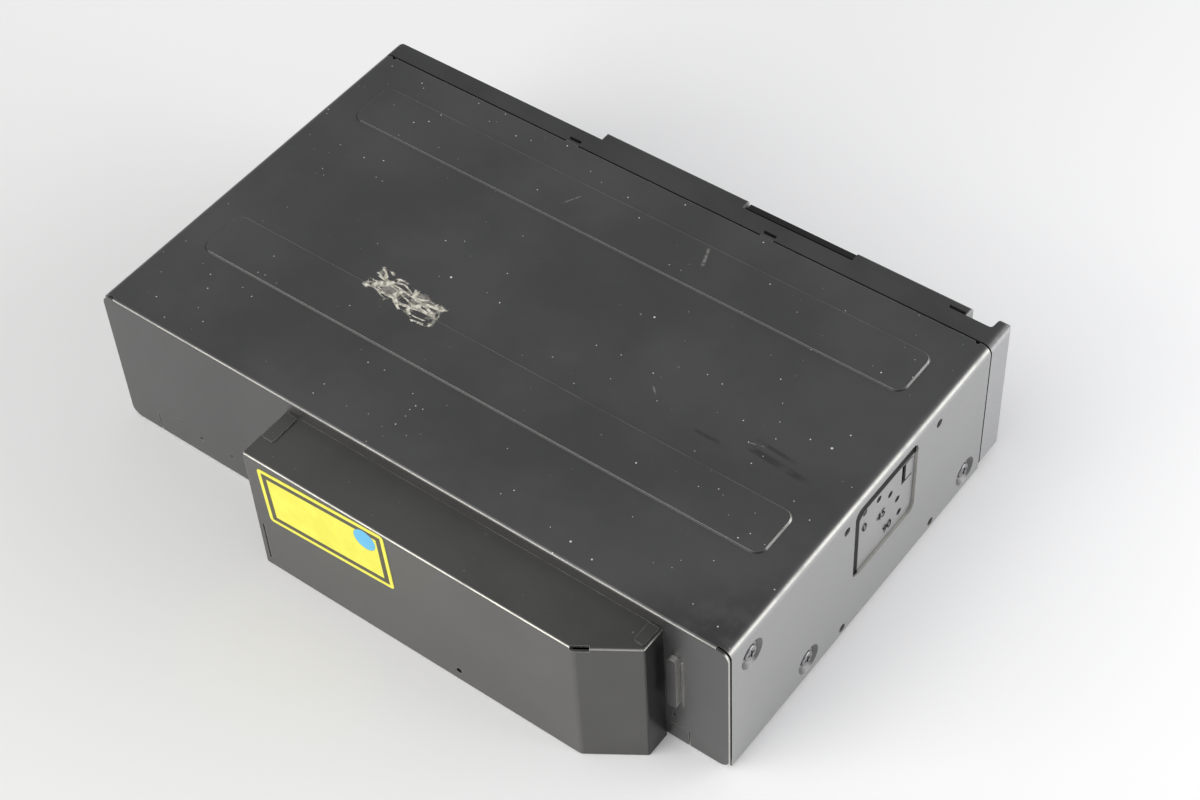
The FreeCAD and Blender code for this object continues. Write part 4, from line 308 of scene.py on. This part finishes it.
    def specks(self, size, share, radius):
        """Sparse round specks: one cell in every 1 / share of them has one."""
        node = self.cells(size)
        chosen = self.add("ShaderNodeSeparateColor")
        self.link(node.outputs["Color"], chosen.inputs[0])
        picked = self.below(chosen.outputs[0], share)
        reach = self.times(self.band(chosen.outputs[1], 0.0, 1.0, 0.4, 1.0), radius / size)
        near = self.band(node.outputs["Distance"], self.times(reach, 0.5), reach, 1.0, 0.0)
        return self.times(picked, near)


def rgba(value):
    """A colour as four numbers, or a socket as it is."""
    if isinstance(value, bpy.types.NodeSocket):
        return value
    return (*value, 1.0)


def scaled(colour, factor):
    return tuple(value * factor for value in colour)


# ---------------------------------------------------------------- materials

def coated_steel(name, base, rough=0.41):
    """Sheet steel with a thin dark satin coating, the start of every grey panel's finish."""
    f = Finish(name)
    f.set(Metallic=0.75, Coat_Weight=0.3, Coat_Roughness=0.25)
    cloud = f.noise(55.0 * MM, 4.0)
    grain = f.noise(1.1 * MM, 2.0)
    f.coat_colour = f.mix(f.band(cloud, 0.3, 0.7), scaled(base, 0.88), scaled(base, 1.12))
    f.coat_rough = f.band(cloud, 0.3, 0.7, rough - 0.04, rough + 0.05)
    f.bump(grain, 0.02 * MM, 0.25)
    f.bump(f.noise(30.0 * MM, 2.0), 0.12 * MM, 0.12)
    return f


def dusty(f, amount=0.4):
    """Fine pale dust and lint on a finish, more of it where it faces up."""
    up = f.band(f.normal()[2], 0.2, 0.9)
    fine = f.specks(3.0 * MM, 0.5, 0.34 * MM)
    coarse = f.specks(11.0 * MM, 0.35, 0.62 * MM)
    drift = f.band(f.noise(50.0 * MM, 3.0), 0.34, 0.54)
    dust = f.times(up, f.either(f.times(fine, drift), coarse))
    return f.times(dust, amount)


def rub_marks(f):
    """Light scratches on the top panel, each a straight, broken stroke."""
    found = None
    for start, end, width in SCRATCHES:
        line = f.stroke(scaled(start, MM), scaled(end, MM), width * MM)
        found = f.either(found, line) if found else line
    broken = f.band(f.noise(1.6 * MM, 2.0), 0.35, 0.6)
    return f.times(found, broken)


def smears(f):
    """Dark greasy streaks near one end of the top panel and round its rear corner."""
    x, y, z = f.axes()
    wave = f.times(f.minus(f.noise(50.0 * MM, 2.0), 0.5), SMEAR_WAVE)
    streaks = None
    for start, end, level, width in SMEARS:
        middle, half = (start + end) / 2, (start - end) / 2
        off = f.size_of(f.minus(f.plus(y, wave), level))
        line = f.band(off, width * 0.3, width, 1.0, 0.0)
        reach = f.band(f.size_of(f.minus(x, middle)), half * 0.6, half, 1.0, 0.0)
        streak = f.times(line, reach)
        streaks = f.either(streaks, streak) if streaks else streak
    touched = f.band(f.noise(9.0 * MM, 4.0, 0.6), 0.34, 0.56)
    corner = f.band(f.minus(y, x), *SMEAR_CORNER)
    on_top = f.above(z, panel_z - 1.0 * MM)
    marks = f.either(streaks, f.times(corner, 0.8))
    return f.times(f.times(marks, touched), on_top)


def residue(f):
    """A torn sticker's glue: (where it is, how cream it is). Long strands with cross links."""
    x, y, z = f.axes()
    along = f.minus(x, RESIDUE_CENTRE[0])
    across = f.minus(y, RESIDUE_CENTRE[1])
    across = f.plus(across, f.times(along, RESIDUE_SLANT))
    ragged = f.times(f.minus(f.noise(4.0 * MM, 4.0, 0.7), 0.5), 7.0 * MM)
    end = f.minus(f.size_of(f.plus(along, ragged)), RESIDUE_HALF[0])
    side = f.minus(f.size_of(f.plus(across, ragged)), RESIDUE_HALF[1])
    inside = f.band(f.either(end, side), -0.4 * MM, 0.2 * MM, 1.0, 0.0)
    wobble = f.times(f.minus(f.noise(7.0 * MM, 2.0), 0.5), 2.5 * MM)
    stretched = f.vector(f.times(along, 0.30), f.plus(across, wobble), 0.0)
    net = f.cells(4.2 * MM, "DISTANCE_TO_EDGE", stretched).outputs["Distance"]
    links = f.band(net, 0.05, 0.10, 1.0, 0.0)
    ridge = f.size_of(f.minus(f.noise(3.4 * MM, 0.0, vector=stretched), 0.5))
    strands = f.either(links, f.band(ridge, 0.03, 0.05, 1.0, 0.0))
    film = f.times(f.band(f.noise(6.0 * MM, 3.0, 0.6), 0.50, 0.56), 0.35)
    torn = f.band(f.noise(6.0 * MM, 3.0, 0.6, vector=f.mapped(shift=(0.3, 0.1, 0))), 0.36, 0.42)
    on_top = f.above(z, panel_z - 0.2 * MM)
    there = f.times(f.times(inside, on_top), f.times(torn, f.either(strands, film)))
    return there, f.noise(1.4 * MM, 3.0)


def cut_edges(f, panel, along):
    """1 on the bare cut edges of one panel: where the surface turns off the panel's own direction."""
    turned = f.band(f.size_of(along), 0.25, 0.45, 1.0, 0.0)
    return f.times(panel, turned)


def worn_edges(f):
    """Bare bright steel on the cut edges of the cover's side, rear and top panels."""
    x, y, z = f.axes()
    normal = f.normal("True Normal")
    below_bend = f.below(z, panel_z - 2.0 * MM)
    out = f.size_of(x)
    ahead = f.below(y, rear_y - BEND_CLEAR)
    side = f.times(f.above(out, cover_high.x - SHEET), f.times(below_bend, ahead))
    rear = f.times(f.above(y, rear_y - SHEET * 0.6), below_bend)
    inside_bends = f.below(out, cover_high.x - BEND_CLEAR)
    top = f.times(f.above(z, panel_z - SHEET), f.times(inside_bends, ahead))
    edges = f.either(cut_edges(f, side, normal[0]), cut_edges(f, rear, normal[1]))
    edges = f.either(edges, f.times(cut_edges(f, top, normal[2]), 0.6))
    nicks = f.band(f.noise(2.5 * MM, 3.0), 0.2, 0.5, 0.6, 1.0)
    return f.times(edges, nicks)


def bend_rub(f, normal, low=0.42, high=0.88):
    """Painted highlight along a bend, in patches, where the surface faces between up and out to the
    side.
    """
    off_crest = f.size_of(f.minus(normal[2], (low + high) / 2))
    on_crest = f.band(off_crest, 0.0, (high - low) / 2, 1.0, 0.0)
    patchy = f.band(f.noise(8.0 * MM, 4.0, 0.6), 0.25, 0.6, 0.5, 1.0)
    return f.times(on_crest, patchy)


def cover_bends(f):
    """Painted highlights along the side and rear bends of the cover."""
    x, y, z = f.axes()
    near_top = f.above(z, panel_z - BEND_ZONE)
    side = f.above(f.size_of(x), cover_high.x - BEND_ZONE)
    rear = f.above(y, rear_y - 1.5 * MM)
    # painted highlight, stronger on the side bends than on the rear bend
    where = f.times(near_top, f.either(f.times(side, 0.6), f.times(rear, 0.38)))
    return f.times(bend_rub(f, f.normal()), where)


def rib_rub(f):
    """The ribs' flanks: (a painted highlight on the flanks that face away, painted shade on the other
    flanks below their top band).
    """
    x, _, z = f.axes()
    normal = f.normal("True Normal")
    flank = f.band(normal[2], 0.90, 0.985, 1.0, 0.0)
    on_panel = f.times(f.above(z, panel_z - 0.05 * MM),
                       f.below(f.size_of(x), cover_high.x - 2 * BEND_CLEAR))
    uneven = f.band(f.noise(12.0 * MM, 3.0), 0.3, 0.65, 0.35, 1.0)
    upper = f.band(z, panel_z + 0.37 * MM, panel_z + 0.42 * MM)
    on_flank = f.times(flank, on_panel)
    away = f.band(normal[1], -0.1, 0.1, 1.0, 0.0)
    # painted highlight on the flanks that face away; painted shade on the rest below the top band
    rib_highlight = f.times(on_flank, f.times(uneven, away))
    return rib_highlight, f.times(on_flank, f.minus(1.0, f.either(upper, away)))


def rims(f):
    """Paint worn off the edges of the cover's windows, holes and dimples, brightened as a painted
    highlight that is strongest on the side faces; none on the ribs.
    """
    x, y, z = f.axes()
    among_ribs = f.below(f.size_of(f.minus(y, RIBS_MIDDLE)), RIBS_REACH)
    on_panel = f.above(z, panel_z - 0.1 * MM)
    on_side = f.above(f.size_of(x), cover_high.x - 1.2 * SHEET)
    # painted highlight on every edge of the side faces, patchy wear elsewhere
    worn = f.either(f.times(on_side, 0.85), f.band(f.noise(6.0 * MM, 4.0), 0.3, 0.7, 0.2, 0.7))
    return f.times(f.times(f.edges(), worn), f.minus(1.0, f.times(among_ribs, on_panel)))


def case_paint():
    """The cover's paint, with its wear, its smears and the residue of a torn sticker, and with
    painted light: lighter side faces, painted highlights on bends, rib flanks and edges, and painted
    shade on rib flanks.
    """
    case_grey = (CASE_GREY, CASE_GREY, CASE_GREY)
    f = coated_steel("case_paint", case_grey)
    dirt = dusty(f, 0.9)
    glue, cream = residue(f)
    grease = smears(f)
    # bare steel's colour for real worn edges and scratches, and for painted highlights on the rib
    # flanks, bends and edge rims
    bare = f.either(worn_edges(f), f.times(rub_marks(f), 0.55))
    rib_highlight, shaded = rib_rub(f)
    bare = f.either(bare, f.times(rib_highlight, 0.5))
    bare = f.either(bare, cover_bends(f))
    bare = f.either(bare, rims(f))
    # painted light: faces looking to either side painted lighter
    colour = f.mix(f.sideways(), f.coat_colour, scaled(case_grey, SIDE_PAINTED_LIGHT))
    # real grease streaks, and painted shade on the lower rib flanks
    dark = f.either(f.times(grease, 0.45), f.times(shaded, 0.8))
    colour = f.mix(dark, colour, (0.022, 0.022, 0.023))
    colour = f.mix(bare, colour, BARE_STEEL_AND_HIGHLIGHT)
    colour = f.mix(dirt, colour, DUST_AND_HIGHLIGHT)
    f.link(f.band(f.either(dirt, glue), 0.0, 0.6, 0.75, 0.0), f.shader.inputs["Metallic"])
    glue_colour = f.mix(f.band(cream, 0.35, 0.65), (0.34, 0.32, 0.26), (0.86, 0.83, 0.72))
    colour = f.mix(f.times(glue, 0.92), colour, glue_colour)
    f.colour(colour)
    f.roughness(f.either(f.coat_rough, f.times(glue, 0.75)))
    f.bump(glue, 0.12 * MM, 0.9)
    return f.material


def housing_paint():
    """The rear housing's paint: painted shade on its side walls and a little on faces looking up, and
    a painted highlight along the edge of its roof and on its edges, which are also worn.
    """
    f = coated_steel("housing_paint", (0.128, 0.127, 0.122), 0.42)
    z = f.axes()[2]
    normal = f.normal()
    # painted shade: side walls much darker, faces looking up a little darker
    sideways = f.band(f.size_of(normal[0]), 0.35, 1.0, 0.0, 0.95)
    painted_shade = f.either(sideways, f.band(normal[2], 0.9, 0.99, 0.0, 0.2))
    shaded_coat = f.mix(painted_shade, f.coat_colour, (0.012, 0.012, 0.012))
    # painted highlight along the roof edge, and on every edge with some wear, in the pale dust colour
    roof_highlight = f.times(f.above(z, housing_high.z - 2.0 * MM), bend_rub(f, normal, 0.35, 0.95))
    rim = f.times(f.edges(), f.band(f.noise(6.0 * MM, 4.0), 0.3, 0.7, 0.15, 0.75))
    colour = f.mix(f.either(f.times(roof_highlight, 0.75), rim), shaded_coat, DUST_AND_HIGHLIGHT)
    colour = f.mix(dusty(f, 0.3), colour, (0.5, 0.49, 0.46))
    scuffs = f.band(f.noise(4.0 * MM, 4.0, 0.6, vector=f.mapped(scale=(1.0, 1.0, 0.15))), 0.66, 0.72)
    colour = f.mix(f.times(scuffs, 0.25), colour, (0.16, 0.16, 0.155))
    f.colour(colour)
    f.roughness(f.coat_rough)
    return f.material


def rolled_zinc(name, base, rough=0.42):
    """Zinc plated sheet: a fine rolled grain along x and pale spangle."""
    f = Finish(name)
    f.set(Metallic=0.85)
    grain = f.noise(0.9 * MM, 3.0, vector=f.mapped(scale=(0.06, 1.0, 1.0)))
    spangle = f.cells(7.0 * MM).outputs["Color"]
    patch = f.add("ShaderNodeSeparateColor")
    f.link(spangle, patch.inputs[0])
    dull = scaled(base, 0.82)
    tone = f.plus(f.times(grain, 0.6), f.times(patch.outputs[0], 0.4))
    colour = f.mix(f.band(tone, 0.3, 0.7), dull, base)
    stain = f.band(f.noise(30.0 * MM, 4.0), 0.58, 0.74)
    f.colour(f.mix(f.times(stain, 0.3), colour, (0.33, 0.32, 0.30)))
    f.roughness(f.band(tone, 0.3, 0.7, rough - 0.05, rough + 0.08))
    f.bump(grain, 0.015 * MM, 0.35)
    return f.material


def moulded(name, base, rough=0.5, dust=0.25, metallic=0.0):
    """Moulded plastic with a spark-eroded grain; metallic for a plastic in the casing's paint, whose
    faces looking to either side are then painted lighter as painted light.
    """
    f = Finish(name)
    f.set(Specular_IOR_Level=0.45, Metallic=metallic)
    cloud = f.noise(40.0 * MM, 3.0)
    colour = f.mix(f.band(cloud, 0.3, 0.7), scaled(base, 0.85), scaled(base, 1.12))
    if metallic:
        # painted light: faces looking to either side painted lighter
        colour = f.mix(f.sideways(), colour, scaled(base, BEZEL_PAINTED_LIGHT))
    pale = tuple(0.5 * (value + 0.55) for value in base)
    f.colour(f.mix(dusty(f, dust), colour, pale))
    grain = f.noise(0.6 * MM, 3.0)
    f.roughness(f.band(grain, 0.3, 0.7, rough - 0.06, rough + 0.06))
    f.bump(grain, 0.03 * MM, 0.5)
    return f.material


def label_place(f):
    """How far a point is along and up from the label's middle, in the label's own tilt."""
    x, _, z = f.axes()
    centre = (label_low + label_high) / 2
    dx = f.minus(x, centre.x)
    dz = f.minus(z, centre.z)
    cos, sin = math.cos(LABEL_TILT), math.sin(LABEL_TILT)
    along = f.minus(f.times(dx, cos), f.times(dz, sin))
    up = f.plus(f.times(dx, sin), f.times(dz, cos))
    return along, up


def label_line(f, along, up):
    """1 on the frame line round the label."""
    from_end = f.minus(LABEL_WIDTH / 2, f.size_of(along))
    from_side = f.minus(LABEL_HEIGHT / 2, f.size_of(up))
    margin = f.math("MINIMUM", from_end, from_side)
    past_edge = f.above(margin, LABEL_MARGIN)
    before_field = f.below(margin, LABEL_MARGIN + LABEL_BAND)
    return f.times(past_edge, before_field)


def label_dot(f, along, up):
    """The round sticker on the label: (where it is, where its rim is)."""
    reach = f.distance(f.minus(along, DOT_ALONG), f.minus(up, DOT_UP))
    dot = f.band(reach, DOT_RADIUS - DOT_EDGE, DOT_RADIUS, 1.0, 0.0)
    rim = f.band(f.size_of(f.minus(reach, DOT_RADIUS)), 0.0, DOT_RIM, 1.0, 0.0)
    return dot, rim


def label_film():
    """Yellow film with a dark frame line and a round blue sticker, no words."""
    f = Finish("label_film")
    f.set(Specular_IOR_Level=0.4, Coat_Weight=0.15, Coat_Roughness=0.2)
    along, up = label_place(f)
    fade = f.band(f.noise(9.0 * MM, 3.0), 0.3, 0.7)
    yellow = f.mix(fade, (0.90, 0.85, 0.070), (0.97, 0.93, 0.095))
    speck = f.specks(4.0 * MM, 0.12, 0.5 * MM)
    colour = f.mix(label_line(f, along, up), yellow, (0.085, 0.075, 0.035))
    colour = f.mix(f.times(speck, 0.4), colour, (0.30, 0.27, 0.10))
    dot, rim = label_dot(f, along, up)
    blue = f.mix(f.noise(3.0 * MM, 3.0), (0.11, 0.50, 0.84), (0.17, 0.62, 0.93))
    colour = f.mix(dot, colour, blue)
    f.colour(f.mix(f.times(rim, 0.5), colour, (0.04, 0.16, 0.30)))
    f.roughness(f.band(f.noise(2.0 * MM, 2.0), 0.3, 0.7, 0.30, 0.42))
    f.bump(f.noise(6.0 * MM, 2.0), 0.05 * MM, 0.2)
    f.bump(dot, 0.08 * MM, 0.8)
    return f.material


def screw_steel():
    """Dark plated screw heads."""
    f = Finish("screw_steel")
    f.set(Metallic=0.9)
    turned = f.noise(0.5 * MM, 2.0)
    f.colour(f.mix(turned, (0.16, 0.16, 0.165), (0.46, 0.46, 0.465)))
    f.roughness(f.band(turned, 0.3, 0.7, 0.28, 0.42))
    f.bump(turned, 0.02 * MM, 0.4)
    return f.material


def bright_steel():
    """Ground shafts and lead screws."""
    f = Finish("bright_steel")
    f.set(Metallic=1.0)
    ground = f.noise(0.4 * MM, 3.0)
    f.colour(f.mix(ground, (0.50, 0.50, 0.51), (0.72, 0.72, 0.73)))
    f.roughness(f.band(ground, 0.3, 0.7, 0.18, 0.30))
    f.bump(ground, 0.005 * MM, 0.3)
    return f.material


def disc_plastic():
    """Clear plastic over a mirror layer, with a painted rainbow sheen on its track."""
    f = Finish("disc_plastic")
    f.set(Metallic=0.9, Coat_Weight=0.6, Coat_Roughness=0.04)
    low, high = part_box("disc_1")
    centre = (low + high) / 2
    x, y, _ = f.axes()
    dx = f.minus(x, centre.x)
    dy = f.minus(y, centre.y)
    reach = f.distance(dx, dy)
    turn = f.math("ARCTAN2", dy, dx)
    fan = f.math("SINE", f.plus(f.times(turn, 4.0), f.times(reach, 60.0)))
    track = f.times(f.band(reach, *TRACK_START), f.band(reach, *TRACK_END, 1.0, 0.0))
    # painted rainbow sheen: fixed colours fanned round the track
    painted_rainbow = f.times(track, f.band(fan, 0.2, 1.0, 0.0, 0.35))
    silver = f.mix(track, (0.78, 0.80, 0.82), (0.70, 0.72, 0.75))
    hue = f.band(f.math("SINE", f.times(turn, 4.0)), -1.0, 1.0)
    rainbow_tint = f.mix(hue, (0.55, 0.75, 0.62), (0.72, 0.58, 0.75))
    f.colour(f.mix(painted_rainbow, silver, rainbow_tint))
    f.roughness(f.band(f.noise(10.0 * MM, 2.0), 0.3, 0.7, 0.08, 0.14))
    f.bump(f.noise(0.8 * MM, 2.0), 0.002 * MM, 0.2)
    return f.material


def board_green():
    """Circuit board: lacquer over copper tracks and bare pads."""
    f = Finish("board_green")
    f.set(Specular_IOR_Level=0.5, Coat_Weight=0.4, Coat_Roughness=0.15)
    net = f.cells(2.6 * MM, "DISTANCE_TO_EDGE", f.mapped(scale=(1.0, 1.6, 1.6)))
    track = f.band(net.outputs["Distance"], 0.10, 0.14, 1.0, 0.0)
    pads = f.specks(4.0 * MM, 0.3, 2.2 * MM)
    lacquer = f.mix(track, (0.018, 0.13, 0.045), (0.035, 0.23, 0.075))
    f.colour(f.mix(f.above(pads, 0.35), lacquer, (0.62, 0.58, 0.46)))
    f.roughness(f.band(f.noise(2.0 * MM, 2.0), 0.3, 0.7, 0.28, 0.4))
    f.bump(track, 0.03 * MM, 0.6)
    return f.material


def rubber(name):
    """Black rubber with a faint bloom."""
    f = Finish(name)
    f.set(Specular_IOR_Level=0.3)
    bloom = f.noise(3.0 * MM, 3.0)
    f.colour(f.mix(f.band(bloom, 0.4, 0.7), (0.018, 0.018, 0.018), (0.045, 0.044, 0.042)))
    f.roughness(f.band(bloom, 0.3, 0.7, 0.62, 0.78))
    f.bump(f.noise(0.8 * MM, 2.0), 0.03 * MM, 0.4)
    return f.material


def motor_steel():
    """Drawn motor cans."""
    f = Finish("motor_steel")
    f.set(Metallic=0.95)
    drawn = f.noise(1.2 * MM, 3.0, vector=f.mapped(scale=(1.0, 1.0, 0.08)))
    f.colour(f.mix(drawn, (0.42, 0.42, 0.43), (0.66, 0.66, 0.67)))
    f.roughness(f.band(drawn, 0.3, 0.7, 0.26, 0.38))
    f.bump(drawn, 0.01 * MM, 0.4)
    return f.material


def ink():
    """The matt black of the numbers on the selector plates."""
    f = Finish("ink")
    f.set(Specular_IOR_Level=0.1)
    f.colour(f.mix(f.noise(0.8 * MM, 2.0), (0.003, 0.003, 0.003), (0.012, 0.012, 0.012)))
    f.roughness(f.band(f.noise(0.5 * MM, 2.0), 0.3, 0.7, 0.7, 0.9))
    return f.material


def selector_sheet():
    """The sunk plate: dark where the rear and upper edges of its window keep the light off."""
    # painted light: the plate's grey lifted by the same factor as the painted light on the cover's
    # side faces
    grey = CASE_GREY * SIDE_PAINTED_LIGHT
    f = coated_steel("selector_sheet", (grey, grey * 0.99, grey * 0.99), 0.4)
    _, y, z = f.axes()
    rear = f.minus(y, WINDOW_REAR - REAR_SHADE)
    upper = f.minus(z, WINDOW_TOP - TOP_SHADE)
    corner = f.minus(f.plus(rear, upper), -SHADE_CORNER)
    shaded = f.band(f.either(f.either(rear, upper), corner), -SHADE_FADE, SHADE_FADE)
    f.colour(f.mix(shaded, f.coat_colour, (0.003, 0.003, 0.003)))
    f.link(f.band(shaded, 0.0, 1.0, 0.5, 0.0), f.shader.inputs["Specular IOR Level"])
    f.link(f.band(shaded, 0.0, 1.0, 0.3, 0.0), f.shader.inputs["Coat Weight"])
    f.roughness(f.coat_rough)
    return f.material


def finishes():
    """Every finish, by the record's material slot."""
    return {
        "case_paint": case_paint(),
        "housing_paint": housing_paint(),
        "zinc_sheet": rolled_zinc("zinc_sheet", (0.50, 0.51, 0.53)),
        "frame_sheet": rolled_zinc("frame_sheet", (0.46, 0.47, 0.49)),
        "deck_sheet": rolled_zinc("deck_sheet", (0.52, 0.52, 0.54), 0.38),
        "bezel_plastic": moulded("bezel_plastic", (0.102, 0.102, 0.103), 0.42, metallic=0.75),
        "surround_plastic": moulded("surround_plastic", (0.085, 0.085, 0.086), 0.40, metallic=0.6),
        "button_plastic": moulded("button_plastic", (0.055, 0.055, 0.057)),
        "label_film": label_film(),
        "screw_steel": screw_steel(),
        "selector_sheet": selector_sheet(),
        "white_plastic": moulded("white_plastic", (0.80, 0.80, 0.77), 0.42, dust=0.0),
        "black_plastic": moulded("black_plastic", (0.010, 0.010, 0.0105), 0.34, dust=0.1),
        "tray_plastic": moulded("tray_plastic", (0.15, 0.15, 0.16), dust=0.0),
        "disc_plastic": disc_plastic(),
        "board_green": board_green(),
        "grommet_rubber": rubber("grommet_rubber"),
        "belt_rubber": rubber("belt_rubber"),
        "motor_steel": motor_steel(),
        "gear_plastic": moulded("gear_plastic", (0.80, 0.77, 0.66), 0.4, dust=0.0),
        "bright_steel": bright_steel(),
        "pickup_body": moulded("pickup_body", (0.055, 0.055, 0.06), 0.45, dust=0.0),
    }


def dress_nodes(looks):
    """Each CAD node takes the finish of its material slot."""
    slots = {part["node"]: part["material_slot"] for part in frame["record"]["subparts"]}
    for name, node in frame["nodes"].items():
        for index in range(len(node.data.materials)):
            node.data.materials[index] = looks[slots[name]]


# ---------------------------------------------------------------- pieces

def number(name, body, material):
    """A raised number, lying flat about its own middle."""
    text = bpy.data.curves.new(name, "FONT")
    text.body = body
    text.size = NUMBER_SIZE
    text.align_x = "CENTER"
    text.align_y = "CENTER"
    text.extrude = NUMBER_RELIEF
    text.materials.append(material)
    piece = bpy.data.objects.new(name, text)
    bpy.context.collection.objects.link(piece)
    return piece


def selector_numbers(material):
    """The angle beside each end and the middle of both selector arcs: 0, 45 and 90."""
    for side, name in ((-1, "left"), (1, "right")):
        for angle in (0, 45, 90):
            piece = number("number_%d_%s" % (angle, name), str(angle), material)
            turn = math.radians(angle)
            face = plate_low.x if side < 0 else -plate_low.x
            ahead, up = NUMBER_REACH * math.sin(turn), NUMBER_REACH * math.cos(turn)
            piece.location = (face, ARC_Y - ahead, ARC_Z + up)
            piece.rotation_euler = Euler((math.radians(90), 0, math.radians(90 * side)))
            bpy.context.view_layer.update()
            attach(piece, "casing")


# ---------------------------------------------------------------- studio

def floor_material():
    """Pale paper, which glows a little to the camera, in reflections and through glass."""
    f = Finish("studio_floor")
    f.set(Emission_Color=(1.0, 1.0, 1.0, 1.0))
    x, y, _ = f.axes()
    f.colour(f.mix(f.band(x, -0.40, 0.45), (0.825, 0.825, 0.835), (0.855, 0.855, 0.855)))
    f.roughness(0.75)
    ray = f.add("ShaderNodeLightPath").outputs
    seen = f.either(f.either(ray["Is Camera Ray"], ray["Is Glossy Ray"]), ray["Is Transmission Ray"])
    glow = f.plus(f.band(x, *GLOW_ALONG_X), f.band(y, *GLOW_ALONG_Y))
    f.link(f.times(seen, glow), f.shader.inputs["Emission Strength"])
    return f.material


def floor():
    """The sheet of paper that the part stands on."""
    mesh = bpy.data.meshes.new("floor")
    half = FLOOR_HALF
    corners = [(-half, -half, 0), (half, -half, 0), (half, half, 0), (-half, half, 0)]
    mesh.from_pydata(corners, [], [(0, 1, 2, 3)])
    mesh.materials.append(floor_material())
    sheet = bpy.data.objects.new("floor", mesh)
    bpy.context.collection.objects.link(sheet)


def area_light(name, place, target, size, radiance, colour):
    """A rectangular soft light of that radiance, aimed at target."""
    light = bpy.data.lights.new(name, "AREA")
    light.shape = "RECTANGLE"
    light.size, light.size_y = size
    light.energy = radiance * math.pi * size[0] * size[1]
    light.color = colour
    lamp = bpy.data.objects.new(name, light)
    bpy.context.collection.objects.link(lamp)
    lamp.location = place
    lamp.rotation_euler = (Vector(target) - Vector(place)).to_track_quat("-Z", "Y").to_euler()


def surroundings():
    """An even, faint daylight from all round."""
    world = bpy.data.worlds.new("studio")
    world.use_nodes = True
    background = world.node_tree.nodes["Background"]
    background.inputs["Color"].default_value = WORLD_COLOUR
    background.inputs["Strength"].default_value = WORLD_STRENGTH
    bpy.context.scene.world = world


def camera():
    """The camera, above and behind the part."""
    data = bpy.data.cameras.new("camera")
    data.sensor_width = SENSOR_WIDTH
    data.lens = CAMERA_LENS
    seen = bpy.data.objects.new("camera", data)
    bpy.context.collection.objects.link(seen)
    seen.location = CAMERA_PLACE
    seen.rotation_euler = Euler([math.radians(turn) for turn in CAMERA_TURN])
    bpy.context.scene.camera = seen


dress_nodes(finishes())
selector_numbers(ink())
floor()
for lamp in LAMPS:
    area_light(*lamp)
surroundings()
camera()
bpy.context.scene.view_settings.view_transform = "Standard"
